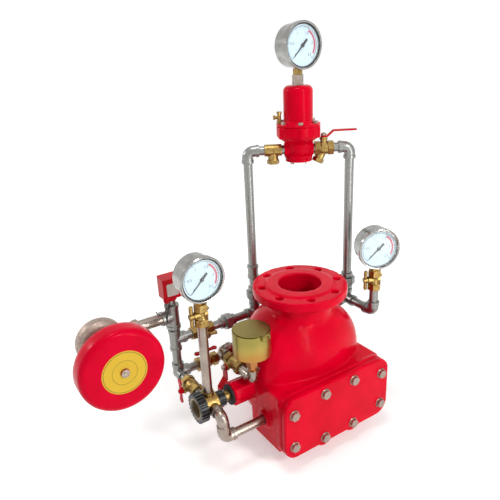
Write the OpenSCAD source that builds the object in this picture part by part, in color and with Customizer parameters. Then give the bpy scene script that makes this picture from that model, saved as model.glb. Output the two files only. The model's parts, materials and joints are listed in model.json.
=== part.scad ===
// Sprinkler alarm valve of the dry-pipe type, with its trim, accelerator, gauges and water motor gong.
// Origin at the centre of the inlet face, +Z up the waterway, hand-hole cover towards -Y.

/* [Valve body] */
// Height from the inlet face to the outlet face
valve_h = 380; // [370:1:400]
// Outer diameter of both flanges
flange_od = 220; // [212:1:230]
// Thickness of both flanges, raised face included
flange_t = 24; // [20:1:28]
// Diameter of the flange bolt circle
flange_pcd = 180; // [176:1:186]
// Diameter of each flange bolt hole
flange_hole_d = 18; // [14:0.5:20]
// Number of bolt holes in each flange
flange_holes = 8; // [4:4:12]
// Diameter of the raised face on each flange
raised_face_d = 158; // [140:1:160]
// Height of the raised face
raised_face_h = 3; // [1:0.5:4]
// Diameter of the waterway
bore_d = 100; // [90:1:104]
// Length of the full-bore land below the outlet face
outlet_land = 50; // [40:1:54]
// Outer radius of the necks behind the flanges
neck_r = 76; // [72:1:78]
// Outer radius of the domed body
globe_r = 149; // [146:1:150]
// Height of the centre of the dome
globe_z = 193; // [190:1:198]
// Height where the round bottom starts
belly_z = 118; // [112:1:126]
// Height of the top of the lower neck
neck_z = 52; // [46:1:56]
// Radius of the flattened front of the dome
front_r = 250; // [220:5:280]
// Radius of the shoulders between the front and the sides of the dome
side_r = 184; // [182:1:188]
// Distance back to the centre of the shoulders
side_y = 70; // [66:1:74]
// Distance from the axis to the flattened front
front_y = 100; // [92:1:106]
// Wall thickness of the casting
wall = 10; // [8:0.5:12]
// Top of the square front of the body
box_top = 186; // [182:1:190]
// Bottom of the square front of the body
box_bottom = 40; // [36:1:46]

/* [Hand hole] */
// Height of the centre of the cover
cover_z = 112; // [108:1:116]
// Distance from the axis to the outer face of the cover
cover_y = 142; // [138:1:150]
// Width of the cover
cover_w = 310; // [304:1:320]
// Height of the cover above its centre
cover_up = 81; // [78:1:88]
// Depth of the cover below its centre
cover_down = 75; // [72:1:78]
// Corner radius of the cover
cover_corner_r = 34; // [20:1:40]
// Thickness of the cover plate
cover_t = 14; // [10:1:18]
// Thickness of the gasket
gasket_t = 2; // [1:0.5:4]
// Thickness of the flange behind the gasket
hand_flange_t = 16; // [16:1:20]
// Width of the hand hole
hand_w = 224; // [200:1:228]
// Height of the hand hole
hand_h = 92; // [80:1:94]
// Corner radius of the hand hole
hand_corner_r = 30; // [16:1:36]
// Offset of the inner bolts from the middle
bolt_in_x = 42.8; // [38:0.1:48]
// Rise of the inner bolts from the cover's centre
bolt_in_z = 59.2; // [58:0.1:62]
// Offset of the outer bolts from the middle
bolt_out_x = 130.2; // [128:0.1:134]
// Rise of the outer bolts from the cover's centre
bolt_out_z = 41.8; // [38:0.1:46]
// Radius of the pads round the lower bolts
bolt_pad_r = 23; // [20:0.5:26]
// Thread diameter of the cover bolts
bolt_d = 12; // [10:1:13]
// Width across flats of the cover bolt heads
bolt_af = 19; // [17:1:22]
// Height of the cover bolt heads
bolt_head_h = 8; // [6:0.5:10]
// Depth of thread engagement of the cover bolts
bolt_bite = 13; // [10:0.5:14]

/* [Clapper] */
// Height of the top of the seat ring
seat_z = 96; // [94:1:98]
// Outer diameter of the seat ring
seat_od = 124; // [118:1:128]
// Height of the seat ring
seat_h = 22; // [16:1:24]
// Outer radius of the boss round the seat ring
seat_boss_r = 72; // [68:1:74]
// Outer radius of the clapper disc
clapper_r = 66; // [63:1:67]
// Thickness of the clapper disc
clapper_t = 10; // [8:0.5:12]
// Thickness of the rubber facing
facing_t = 4; // [3:0.5:5]
// Distance from the axis to the clapper hinge
hinge_y = 92; // [90:1:96]
// Height of the clapper hinge
hinge_z = 114; // [112:1:118]
// Radius of the clapper hinge pin
hinge_pin_r = 6; // [4:0.5:8]
// Radius of the clapper hub
hinge_hub_r = 13; // [11:0.5:14]
// Half width of the clapper hub
hinge_hub_w = 22; // [16:1:24]
// Thickness of each hinge lug
lug_t = 12; // [8:1:14]
// Distance from the back of the dome to the latch pivot
latch_in = 33; // [31:1:36]
// Height of the latch pivot
latch_z = 208; // [200:1:216]
// Radius of the latch pin
latch_pin_r = 4; // [3:0.5:5]
// Length of the latch arm
latch_len = 40; // [30:1:46]
// Half width of the latch arm
latch_w = 6; // [5:0.5:8]

/* [Pipe and fittings] */
// Outer diameter of the trim pipe
pipe_d = 21.3; // [19:0.1:22]
// Wall thickness of the trim pipe
pipe_wall = 2.7; // [2:0.1:3.5]
// Outer diameter of the gong pipe
gong_pipe_d = 26.9; // [25:0.1:28]
// Depth of pipe inside a fitting
engage = 11; // [9:0.5:12]
// Distance from a fitting's centre to its end
reach = 27; // [26:0.5:29]
// Wall thickness of a fitting
fitting_wall = 2.4; // [2:0.1:2.8]
// Extra radius of the bead at a fitting's end
bead = 1.4; // [0.8:0.1:2]
// Length of the bead at a fitting's end
bead_w = 7; // [5:0.5:9]
// Bend radius of an elbow
bend_r = 14.5; // [14:0.1:15]
// Width across flats of a union nut
union_af = 38; // [35:1:42]
// Length of a union
union_l = 40; // [36:1:46]
// Length of a pipe coupling
coupling_l = 34; // [30:1:40]
// Radial clearance of a screwed or pressed fit
fit_gap = 0.05; // [0.02:0.01:0.1]
// Radial clearance of a running fit
run_gap = 0.05; // [0.02:0.01:0.09]
// Gap between faces that move past each other
face_gap = 0.3; // [0.2:0.05:0.6]

/* [Ball valves] */
// Half length of a ball valve
valve_half = 29; // [27:0.5:32]
// Radius of a ball valve's middle
valve_ball_r = 15.5; // [14.5:0.5:18]
// Width across flats of a ball valve's ends
valve_af = 30; // [28.5:0.5:33]
// Length of a ball valve's hexagon ends
valve_hex_l = 13; // [12:0.5:14]
// Distance from a ball valve's axis to the top of its stem housing
bonnet_h = 25; // [23:0.5:30]
// Radius of the stem housing
bonnet_r = 8; // [7:0.5:9]
// Radius of a ball valve's stem
stem_r = 4; // [3:0.25:5]
// Depth of the stem in its housing
stem_in = 9; // [7:0.5:10]

/* [Trim layout] */
// Distance from the back of the dome to the alarm and loop risers
rear_gap = 3; // [3:0.5:9]
// Distance from the side of the dome to the alarm and gauge risers
port_gap = 111; // [108:1:120]
// Height of the drip chamber and of the foot of the alarm riser
drip_z = 158; // [154:1:164]
// Height of the bypass line
bypass_z = 250; // [248:1:256]
// Height of the gong pipe
gong_pipe_z = 314; // [312:1:324]
// Length of the drip chamber's boss outside the dome
boss_l = 56; // [52:1:57]
// Radius of the drip chamber's boss
boss_r = 27; // [22:0.5:28]
// Distance from the middle to the drain elbows, towards the front
drain_y = 60; // [58:1:66]
// Height of the drain pipe
drain_z = 104; // [98:1:105]
// Distance left to the elbow at the end of the test line
test_x = 85; // [80:1:90]
// Distance left to the loop riser
loop_x = 30; // [26:1:36]
// Distance from the side of the dome to the return riser
return_gap = 26; // [23:1:30]
// Distance back to the return riser
return_y = 29; // [27:1:34]
// Height of the foot of the return riser
return_z = 275; // [272:1:280]
// Height of the accelerator's ports
loop_z = 667; // [640:1:700]
// Distance forward to the right gauge
right_gauge_y = 66; // [60:1:72]
// Turn of the right gauge towards the left
right_gauge_turn = 23; // [0:1:30]

/* [Drip chamber] */
// Radius of the brass nipple
nipple_r = 12; // [11:0.5:13]
// Outer radius of the small ribbed nut
nut_r = 18.5; // [16:0.5:20]
// Length of the small ribbed nut
nut_l = 18; // [14:1:20]
// Radius of the drip chamber
chamber_r = 25; // [23:0.5:26]
// Outer radius of the large ribbed ring
ring_r = 34; // [30:0.5:36]
// Length of the large ribbed ring
ring_l = 19; // [16:1:21]
// Number of ribs on the nuts
rib_n = 16; // [10:1:20]
// Radius of each rib
rib_r = 1.8; // [1.2:0.1:2]

/* [Priming line] */
// Distance from the side of the dome to the priming line
prime_gap = 16; // [15:1:20]
// Height of the priming line
prime_z = 205; // [200:1:210]
// Distance forward to the cup
cup_y = 41; // [38:1:46]
// Distance back to the priming valve
prime_valve_y = 38; // [37:1:40]
// Distance back to the corner of the priming line
prime_bend_y = 104; // [100:1:108]
// Outer radius of the cup
cup_r = 42; // [38:0.5:43]
// Height of the cup's straight side
cup_h = 58; // [48:1:66]
// Height of the cup's rounded bottom
cup_cone_h = 18; // [14:1:22]
// Wall thickness of the cup
cup_wall = 1.6; // [1.2:0.1:2.4]
// Thickness of the lid
lid_t = 1.6; // [1.2:0.1:2.4]
// Radius of the lid's pin
lid_pin_r = 1.6; // [1.2:0.1:2]
// Turn of the lid's hinge from the right, towards the front
lid_turn = 82; // [70:1:95]
// Length of the priming lever below its stem
prime_lever_l = 104; // [90:1:110]

/* [Gauges] */
// Outer radius of a gauge case
gauge_r = 46; // [43:0.5:47]
// Depth of a gauge case behind its stem
gauge_back = 21; // [18:1:24]
// Depth of a gauge case in front of its stem
gauge_front = 20; // [18:1:22]
// Outer radius of the bezel ring
bezel_r = 50; // [49.5:0.5:53]
// Length of a gauge's stem below its bezel
stem_show = 10; // [8:0.5:14]
// Length of a gauge cock
cock_h = 50; // [50:1:56]
// Length of a T-handle
t_handle_l = 49; // [40:1:54]
// Length of a pointer from its pivot
pointer_l = 33; // [28:1:35]

/* [Accelerator] */
// Place of the accelerator between the two risers, as a share of the span
acc_share = 0.5; // [0.48:0.01:0.52]
// Radius of the accelerator's bolted flange
acc_flange_r = 50.5; // [48:0.5:54]
// Height of the bolted flange's top above the ports
acc_flange_up = 60; // [56:1:64]
// Thickness of the lower half of the bolted flange
acc_flange_t = 26; // [22:1:30]
// Radius of the body between the ports
acc_body_r = 26; // [25:0.5:28]
// Radius of the bottom flange
acc_foot_r = 32; // [30:0.5:34]
// Depth of the bottom flange's lower face below the ports
acc_foot_down = 20; // [19:1:22]
// Thickness of the bottom cover
acc_cap_t = 6; // [5:0.5:8]
// Radius of the dome
acc_dome_r = 33.5; // [31:0.5:35]
// Height of the dome above its flange
acc_dome_h = 83; // [70:1:100]
// Thickness of the dome's flange
acc_dome_flange_t = 6; // [5:0.5:8]
// Radius of the dome's rounded top edge
acc_dome_round = 13; // [8:0.5:16]
// Number of dome bolts
acc_bolts = 6; // [4:1:8]
// Distance from the accelerator to the relief tee
acc_tee_x = 60; // [58:1:62]
// Half length of the relief tee
acc_tee_half = 20; // [19:0.5:21]
// Distance from the accelerator to its ball valve
acc_valve_x = 58.5; // [58:0.5:60]
// Length of the ball valve's lever
acc_lever_l = 78; // [70:1:84]

/* [Water motor gong] */
// Distance left to the gong's axis
gong_x = 434; // [428:1:440]
// Height of the gong's axis
gong_z = 308; // [306:1:310]
// Outer radius of the turbine housing
turbine_r = 54; // [50:0.5:56]
// Half depth of the turbine housing
turbine_half = 20; // [18:0.5:22]
// Wall thickness of the turbine housing
turbine_wall = 6; // [5:0.5:7]
// Distance forward to the front of the bell
bell_front = 5; // [-5:1:12]
// Outer radius of the bell
bell_r = 92; // [88:1:100]
// Depth of the bell
bell_depth = 46; // [42:1:50]
// Wall thickness of the bell
bell_wall = 4; // [3:0.5:5]
// Radius of the bell's rounded edge
bell_round = 26; // [18:1:30]
// Radius of the fixed spindle
spindle_r = 5; // [4:0.5:6]
// Radius of the rotating sleeve
sleeve_r = 9; // [8:0.5:10]
// Radius of the bearing neck
gong_neck_r = 16; // [14:0.5:18]
// Number of impeller blades
blade_n = 8; // [6:1:12]

/* [Pressure switch] */
// Width of the switch box
switch_w = 44; // [42:1:52]
// Depth of the switch box
switch_d = 38; // [37:1:46]
// Height of the switch box
switch_h = 50; // [46:1:60]
// Corner radius of the switch box
switch_corner_r = 5; // [2:0.5:8]
// Diameter of the switch leads
lead_d = 2.4; // [2:0.1:2.6]

/* [Hidden] */
$fn = 64;
cut = 1;
pipe_r = pipe_d / 2;
flow_r = pipe_r - pipe_wall;
socket_r = pipe_r + fit_gap;
body_r = socket_r + fitting_wall;
bead_r = body_r + bead;
shoulder = reach - engage;
gong_pipe_r = gong_pipe_d / 2;
gong_socket_r = gong_pipe_r + fit_gap;
rear_y = globe_r + rear_gap;
port_x = globe_r + port_gap;
boss_x = globe_r + boss_l;
return_x = globe_r + return_gap;
prime_x = globe_r + prime_gap;
latch_y = globe_r - latch_in;
loop_xy = [-loop_x, rear_y];
return_xy = [return_x, return_y];
loop_span = norm(return_xy - loop_xy);
loop_turn = atan2(return_xy.y - loop_xy.y, return_xy.x - loop_xy.x);
acc_s = acc_share * loop_span;
acc_xy = loop_xy + acc_share * (return_xy - loop_xy);
acc_port_x = acc_body_r + 8;
relief_r = bore_d / 2 + 3;
gasket_y = cover_y - cover_t;
hand_face_y = gasket_y - gasket_t;
hand_back_y = hand_face_y - hand_flange_t;
hinge_lug_x = hinge_hub_w + face_gap + 0.2;
boss_gasket_t = 4;
nipple_l = 39;
chamber_x0 = boss_x + boss_gasket_t + nipple_l - 4;
chamber_l = 31;
ring_x0 = chamber_x0 + chamber_l;
chamber_step = 1.5;
drip_port_r = body_r;
cup_base_z = prime_z + reach + 24;
cup_top_z = cup_base_z + cup_cone_h + cup_h;
gauge_rise = cock_h + bezel_r + stem_show;
left_cock_z = 357;
right_cock_z = return_z + reach + 33;
acc_top_z = loop_z + acc_flange_up + acc_dome_h;
acc_adapter_h = 22;
top_gauge_z = acc_top_z + acc_adapter_h + bezel_r + stem_show;
turbine_y = rear_y;
bell_back = bell_front + bell_depth;
switch_z = gong_pipe_z + 44;
enamel_red = [0.80, 0.02, 0.07];
brass = [0.78, 0.62, 0.28];
steel = [0.66, 0.66, 0.64];
dark = [0.08, 0.08, 0.08];

// Place of the switch's cable gland, and the routes of its two leads from there to the bare ends
gland_x = 16;
gland_y = 13;
gland_at = [-port_x - gland_x, rear_y - gland_y, switch_z];
lead_a = [for (p = [
    [-2.5, 0, 0], [-2.5, 0, -4], [-2.6, 0, -8], [-3, -0.2, -12], [-4, -0.6, -16],
    [-5.6, -1.1, -19.6], [-8, -1.6, -22.6], [-11, -2.1, -24.8], [-14.4, -2.6, -26], [-18, -3, -26],
    [-21.4, -3.4, -24.8], [-24.4, -3.8, -22.4], [-26.8, -4.2, -19.2], [-28.6, -4.6, -15.6], [-30, -5, -12]
]) gland_at + p];
lead_b = [for (p = [
    [2.5, 0, 0], [2.5, 0, -3.5], [2.4, -0.1, -7], [2.2, -0.3, -10.5], [1.8, -0.6, -14],
    [1.2, -1, -17.4], [0.4, -1.5, -20.8], [-0.6, -2, -24.1], [-1.7, -2.5, -27.3], [-2.8, -3, -30.5],
    [-3.8, -3.5, -33.8], [-4.6, -4, -37.1], [-5.1, -4.5, -40.5], [-5.3, -5, -43.9], [-5.2, -5.5, -47.3]
]) gland_at + p];

// Turns children so that their +X runs along a and their +Y along b
module set_axes(a, b) {
    c = cross(a, b);
    multmatrix([
        [a.x, b.x, c.x, 0],
        [a.y, b.y, c.y, 0],
        [a.z, b.z, c.z, 0],
        [0, 0, 0, 1]
    ]) children();
}

// Turns children so that their +Z runs along v
module toward(v) {
    rotate([0, acos(v.z / norm(v)), atan2(v.y, v.x)]) children();
}

module hexagon(af, h) {
    cylinder(d = af / cos(30), h = h, $fn = 6);
}

module ring(r_out, r_in, h) {
    difference() {
        cylinder(r = r_out, h = h);
        translate([0, 0, -cut]) cylinder(r = r_in, h = h + 2 * cut);
    }
}

// Pipe from p to q
module pipe(p, q, r = pipe_r) {
    translate(p) toward(q - p) ring(r, r - pipe_wall, norm(q - p));
}

// One arm of a fitting, from its centre to its beaded end
module arm(v, from = 0, to = reach, r = body_r) {
    toward(v) {
        translate([0, 0, from]) cylinder(r = r, h = to - from);
        translate([0, 0, to - bead_w]) cylinder(r = r + bead, h = bead_w);
    }
}

// Socket and waterway of one arm
module arm_bore(v, to = reach, r = socket_r) {
    toward(v) {
        cylinder(r = r - fit_gap - pipe_wall, h = to);
        translate([0, 0, to - engage]) cylinder(r = r, h = engage + cut);
    }
}

// Elbow with its centre at the origin and its arms along a and b
module elbow(a, b) {
    difference() {
        union() {
            set_axes(a, b) translate([bend_r, bend_r, 0]) rotate(180) rotate_extrude(angle = 90)
                translate([bend_r, 0]) circle(r = body_r);
            arm(a, bend_r);
            arm(b, bend_r);
        }
        set_axes(a, b) translate([bend_r, bend_r, 0]) rotate(180) rotate_extrude(angle = 90)
            translate([bend_r, 0]) circle(r = flow_r);
        toward(a) translate([0, 0, bend_r]) cylinder(r = flow_r, h = reach - bend_r);
        toward(b) translate([0, 0, bend_r]) cylinder(r = flow_r, h = reach - bend_r);
        toward(a) translate([0, 0, shoulder]) cylinder(r = socket_r, h = engage + cut);
        toward(b) translate([0, 0, shoulder]) cylinder(r = socket_r, h = engage + cut);
    }
}

// Tee or corner fitting with straight arms that meet at the origin
module branch_fitting(arms) {
    difference() {
        union() {
            sphere(r = body_r + 0.6);
            for (v = arms) arm(v);
        }
        sphere(r = flow_r + 0.4);
        for (v = arms) arm_bore(v);
    }
}

// Straight coupling along Z, centred at the origin
module coupling(l) {
    difference() {
        union() {
            translate([0, 0, -l / 2]) cylinder(r = body_r, h = l);
            for (s = [-1, 1]) translate([0, 0, s * (l - bead_w) / 2 - bead_w / 2])
                cylinder(r = bead_r, h = bead_w);
        }
        translate([0, 0, -l]) cylinder(r = flow_r, h = 2 * l);
        for (s = [0, 1]) mirror([0, 0, s]) translate([0, 0, l / 2 - engage])
            cylinder(r = socket_r, h = engage + cut);
    }
}

// Union along Z, centred at the origin, with its eight-sided nut
module union_joint() {
    nut_h = 17;
    difference() {
        union() {
            coupling(union_l);
            translate([0, 0, -nut_h / 2]) cylinder(d = union_af / cos(22.5), h = nut_h, $fn = 8);
        }
        translate([0, 0, -union_l]) cylinder(r = flow_r, h = 2 * union_l);
        for (s = [0, 1]) mirror([0, 0, s]) translate([0, 0, union_l / 2 - engage])
            cylinder(r = socket_r, h = engage + cut);
    }
}

// Ball valve with its run along X and its stem housing along Y
module ball_valve(half = valve_half) {
    swell = min(14, half - valve_hex_l + 2);
    difference() {
        union() {
            rotate([0, 90, 0]) rotate_extrude() polygon([
                [0, cut - half], [body_r, cut - half], [body_r, -swell], [valve_ball_r, -swell / 2],
                [valve_ball_r, swell / 2], [body_r, swell], [body_r, half - cut], [0, half - cut]
            ]);
            for (s = [0, 1]) mirror([s, 0, 0]) translate([half - valve_hex_l, 0, 0]) rotate([0, 90, 0])
                hexagon(valve_af, valve_hex_l);
            rotate([-90, 0, 0]) cylinder(r = bonnet_r, h = bonnet_h);
            translate([0, bonnet_h - 6, 0]) rotate([-90, 0, 0]) hexagon(2 * bonnet_r + 1, 4);
        }
        for (s = [0, 1]) mirror([s, 0, 0]) translate([half - engage, 0, 0]) rotate([0, 90, 0])
            cylinder(r = socket_r, h = engage + cut);
        translate([0, bonnet_h - stem_in, 0]) rotate([-90, 0, 0])
            cylinder(r = stem_r + run_gap, h = stem_in + cut);
    }
}

// Stem and hub of a handle, with the stem along -Z into its housing
module handle_stem(hub_r, hub_h) {
    translate([0, 0, -stem_in + face_gap]) cylinder(r = stem_r, h = stem_in);
    translate([0, 0, face_gap]) cylinder(r = hub_r, h = hub_h);
}

// Two-winged handle, wings along X, stem along -Z
module butterfly(wing = 21) {
    wing_t = 3;
    hub_h = 7;
    handle_stem(7.5, hub_h);
    for (s = [-1, 1]) {
        translate([s * (wing / 2 + 3) - wing / 2, -5, face_gap + hub_h - wing_t]) cube([wing, 10, wing_t]);
        translate([s * (wing + 3), 0, face_gap + hub_h - wing_t]) cylinder(r = 7.5, h = wing_t);
    }
    translate([0, 0, face_gap + hub_h]) hexagon(8, 4);
}

// Placement of a ball valve: run and stem directions
module place_valve(p, run, stem) {
    translate(p) set_axes(run, stem) children();
}

// Placement of a handle on the ball valve at p
module place_handle(p, run, stem) {
    translate(p + bonnet_h * stem) set_axes(run, cross(stem, run)) children();
}

// Valve body
module round_bottom(inset) {
    rx = globe_r - neck_r - inset;
    rz = belly_z - neck_z - inset;
    arc = [for (i = [0 : 12]) [neck_r + rx * cos(i * 7.5), belly_z - rz * sin(i * 7.5)]];
    intersection() {
        rotate_extrude() polygon(concat(
            [[0, globe_z], [globe_r - inset, globe_z]], arc, [[0, neck_z + inset]]
        ));
        translate([0, front_r - front_y, 0]) cylinder(r = front_r - inset, h = globe_z + cut, $fn = 128);
        translate([0, side_y, 0]) cylinder(r = side_r - inset, h = globe_z + cut, $fn = 128);
    }
}

module dome(inset) {
    intersection() {
        translate([0, 0, globe_z]) sphere(r = globe_r - inset, $fn = 96);
        translate([0, front_r - front_y, globe_z]) sphere(r = front_r - inset, $fn = 128);
        translate([0, side_y, globe_z]) sphere(r = side_r - inset, $fn = 128);
        translate([-globe_r, -globe_r, globe_z - cut]) cube([2 * globe_r, 2 * globe_r, globe_r + 2 * cut]);
    }
}

module front_box(inset, front) {
    translate([-globe_r + inset, -front, box_bottom + inset])
        cube([2 * (globe_r - inset), front, box_top - box_bottom - 2 * inset]);
}

module flange() {
    ring(flange_od / 2, bore_d / 2, flange_t - raised_face_h);
    translate([0, 0, flange_t - raised_face_h - cut]) ring(raised_face_d / 2, bore_d / 2, raised_face_h + cut);
}

module rounded_plate(w, up, down, r) {
    translate([-w / 2 + r, -down]) square([w - 2 * r, up + down]);
    translate([-w / 2, -down + r]) square([w, up + down - 2 * r]);
    for (x = [-1, 1], z = [-down + r, up - r]) translate([x * (w / 2 - r), z]) circle(r = r);
}

module cover_outline() {
    rounded_plate(cover_w, cover_up, cover_down, cover_corner_r);
    for (x = [-1, 1]) {
        translate([x * bolt_in_x, -bolt_in_z]) circle(r = bolt_pad_r);
        translate([x * bolt_out_x, -bolt_out_z]) circle(r = bolt_pad_r);
    }
}

module hand_hole_outline() {
    rounded_plate(hand_w, hand_h / 2, hand_h / 2, hand_corner_r);
}

// Extrudes a cover outline from the distance y0 to y1 in front of the axis
module cover_slab(y0, y1) {
    translate([0, -y0, cover_z]) rotate([90, 0, 0]) linear_extrude(y1 - y0) children();
}

module at_cover_bolts() {
    for (x = [-1, 1], z = [-1, 1]) {
        translate([x * bolt_in_x, 0, cover_z + z * bolt_in_z]) rotate([90, 0, 0]) children();
        translate([x * bolt_out_x, 0, cover_z + z * bolt_out_z]) rotate([90, 0, 0]) children();
    }
}

// Ports in the casting: face centre, outward direction, depth of the boss and its radius
drain_port = [-globe_r - 9, -drain_y, drain_z];
test_port = [-test_x, rear_y - reach - 4, drip_z];
return_port = [return_x - reach - 7, return_y, return_z];
prime_port = [-prime_x + reach + 20, prime_bend_y, prime_z];
ports = [
    [drain_port, [-1, 0, 0], 18],
    [test_port, [0, 1, 0], 34],
    [return_port, [1, 0, 0], 34],
    [prime_port, [-1, 0, 0], 34]
];
port_boss_r = 20;
spot_face_r = bead_r + 1.2;

module body_outside() {
    dome(0);
    round_bottom(0);
    front_box(0, hand_back_y + cut);
    cylinder(r = neck_r, h = neck_z + cut);
    translate([0, 0, globe_z]) cylinder(r = neck_r, h = valve_h - flange_t - globe_z + cut);
    cover_slab(hand_back_y, hand_face_y) cover_outline();
    for (p = ports) translate(p[0]) toward(-p[1]) cylinder(r = port_boss_r, h = p[2]);
    translate([-boss_x, 0, drip_z]) rotate([0, 90, 0])
        cylinder(d = 2 * boss_r / cos(22.5), h = boss_x - globe_r + 2 * wall, $fn = 8);
}

module body_cavity() {
    difference() {
        union() {
            dome(wall);
            round_bottom(wall);
            front_box(wall, hand_back_y - wall / 2);
            cover_slab(0, hand_face_y + cut) hand_hole_outline();
        }
        cylinder(r = seat_boss_r, h = seat_z - 6);
    }
}

module lug(x, y, z, r, w) {
    back = sqrt(pow(globe_r - wall / 2, 2) - pow(abs(x) + w, 2));
    translate([x, 0, 0]) {
        translate([0, y, z]) rotate([0, 90, 0]) cylinder(r = r, h = w);
        translate([0, y, z - r]) cube([w, back - y, 2 * r]);
    }
}

module valve_body() color(enamel_red) {
    latch_lug_x = latch_w + face_gap + 0.2;
    difference() {
        union() {
            difference() {
                body_outside();
                body_cavity();
            }
            translate([0, 0, valve_h - flange_t]) flange();
            translate([0, 0, flange_t]) mirror([0, 0, 1]) flange();
            for (x = [hinge_lug_x, -hinge_lug_x - lug_t]) lug(x, hinge_y, hinge_z, hinge_hub_r, lug_t);
            for (x = [latch_lug_x, -latch_lug_x - 8]) lug(x, latch_y, latch_z, 9, 8);
        }
        translate([0, 0, -cut]) cylinder(d = bore_d, h = seat_z);
        translate([0, 0, seat_z - seat_h]) cylinder(d = seat_od + 2 * fit_gap, h = seat_h + cut);
        translate([0, 0, valve_h - outlet_land - cut]) cylinder(d = bore_d, h = outlet_land + 2 * cut);
        translate([0, 0, globe_z + globe_r / 2]) cylinder(r = relief_r, h = valve_h - outlet_land - globe_z - globe_r / 2);
        for (i = [0 : flange_holes - 1]) rotate((i + 0.5) * 360 / flange_holes)
            translate([flange_pcd / 2, 0, 0]) {
                translate([0, 0, -cut]) cylinder(d = flange_hole_d, h = flange_t + 2 * cut);
                translate([0, 0, valve_h - flange_t - cut]) cylinder(d = flange_hole_d, h = flange_t + 2 * cut);
            }
        at_cover_bolts() translate([0, 0, hand_face_y - bolt_bite - 1]) cylinder(r = bolt_d / 2 + fit_gap, h = 30);
        for (p = ports) translate(p[0]) toward(-p[1]) {
            translate([0, 0, -engage - port_boss_r]) cylinder(r = spot_face_r, h = engage + port_boss_r);
            translate([0, 0, -cut]) cylinder(r = socket_r, h = engage + cut);
            cylinder(r = flow_r, h = p[2] + 6);
        }
        translate([-boss_x - cut, 0, drip_z]) rotate([0, 90, 0]) {
            cylinder(r = nipple_r + fit_gap, h = engage + cut);
            cylinder(r = flow_r, h = boss_x - globe_r + 3 * wall);
        }
        translate([-hinge_lug_x - lug_t - cut, hinge_y, hinge_z]) rotate([0, 90, 0])
            cylinder(r = hinge_pin_r + fit_gap, h = 2 * (hinge_lug_x + lug_t + cut));
        translate([-latch_lug_x - 8 - cut, latch_y, latch_z]) rotate([0, 90, 0])
            cylinder(r = latch_pin_r + fit_gap, h = 2 * (latch_lug_x + 8 + cut));
    }
}

module hand_cover() color(enamel_red) difference() {
    cover_slab(gasket_y, cover_y) cover_outline();
    at_cover_bolts() translate([0, 0, gasket_y - cut]) cylinder(d = bolt_d + 1.5, h = cover_t + 2 * cut);
}

module gaskets() color(dark) {
    difference() {
        cover_slab(hand_face_y, gasket_y) cover_outline();
        cover_slab(hand_face_y - cut, gasket_y + cut) hand_hole_outline();
        at_cover_bolts() translate([0, 0, hand_face_y - cut]) cylinder(d = bolt_d + 1.5, h = gasket_t + 2 * cut);
    }
    along_left(boss_x) ring(boss_r - 3, nipple_r + fit_gap, boss_gasket_t);
}

module cover_bolts() color(steel) at_cover_bolts() {
    translate([0, 0, cover_y]) {
        intersection() {
            hexagon(bolt_af, bolt_head_h);
            translate([0, 0, -bolt_head_h]) cylinder(r1 = 2 * bolt_af, r2 = bolt_af / 2 - 1, h = 2.3 * bolt_head_h);
        }
    }
    translate([0, 0, hand_face_y - bolt_bite]) cylinder(d = bolt_d, h = cover_y - hand_face_y + bolt_bite);
}

module seat_ring() color(brass) translate([0, 0, seat_z - seat_h]) ring(seat_od / 2, bore_d / 2 - 2, seat_h);

clapper_z = seat_z + face_gap + facing_t;

module clapper() color(brass) {
    arm_w = 26;
    arm_t = 12;
    difference() {
        union() {
            translate([0, 0, clapper_z]) cylinder(r = clapper_r, h = clapper_t);
            translate([0, 0, clapper_z]) cylinder(r = bore_d / 4, h = clapper_t + arm_t + 4);
            translate([-arm_w / 2, 0, clapper_z + clapper_t - cut]) cube([arm_w, hinge_y, arm_t]);
            translate([-hinge_hub_w, hinge_y, hinge_z]) rotate([0, 90, 0])
                cylinder(r = hinge_hub_r, h = 2 * hinge_hub_w);
        }
        translate([-hinge_hub_w - cut, hinge_y, hinge_z]) rotate([0, 90, 0])
            cylinder(r = hinge_pin_r + run_gap, h = 2 * (hinge_hub_w + cut));
    }
}

module clapper_facing() color(dark) translate([0, 0, seat_z + face_gap])
    ring(clapper_r - 2, bore_d / 2 - 4, facing_t);

module latch() color(brass) translate([-latch_w, latch_y, latch_z]) rotate([0, 90, 0]) difference() {
    union() {
        cylinder(r = 9, h = 2 * latch_w);
        translate([0, -6, 0]) cube([latch_len, 12, 2 * latch_w]);
        translate([latch_len - 10, -16, 0]) cube([10, 16, 2 * latch_w]);
    }
    translate([0, 0, -cut]) cylinder(r = latch_pin_r + run_gap, h = 2 * latch_w + 2 * cut);
}

module hinge_pins() color(steel) {
    clapper_half = hinge_lug_x + lug_t;
    latch_half = latch_w + face_gap + 0.2 + 8;
    translate([-clapper_half, hinge_y, hinge_z]) rotate([0, 90, 0])
        cylinder(r = hinge_pin_r, h = 2 * clapper_half);
    translate([-latch_half, latch_y, latch_z]) rotate([0, 90, 0])
        cylinder(r = latch_pin_r, h = 2 * latch_half);
}

// Drip chamber, along -X from the left boss
module along_left(x) {
    translate([-x, 0, drip_z]) rotate([0, -90, 0]) children();
}

module ribbed(r_out, r_in, l) {
    difference() {
        union() {
            cylinder(r = r_out - rib_r, h = l);
            for (i = [0 : rib_n - 1]) rotate(i * 360 / rib_n) translate([r_out - rib_r, 0, 0])
                cylinder(r = rib_r, h = l, $fn = 24);
        }
        translate([0, 0, -cut]) cylinder(r = r_in, h = l + 2 * cut);
    }
}

module drip_nipple() color(brass) along_left(boss_x - engage)
    ring(nipple_r, flow_r, chamber_x0 - boss_x + engage + 6);

module drip_nut() color(dark) along_left(chamber_x0 - nut_l - 3) ribbed(nut_r, nipple_r + fit_gap, nut_l);

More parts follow.
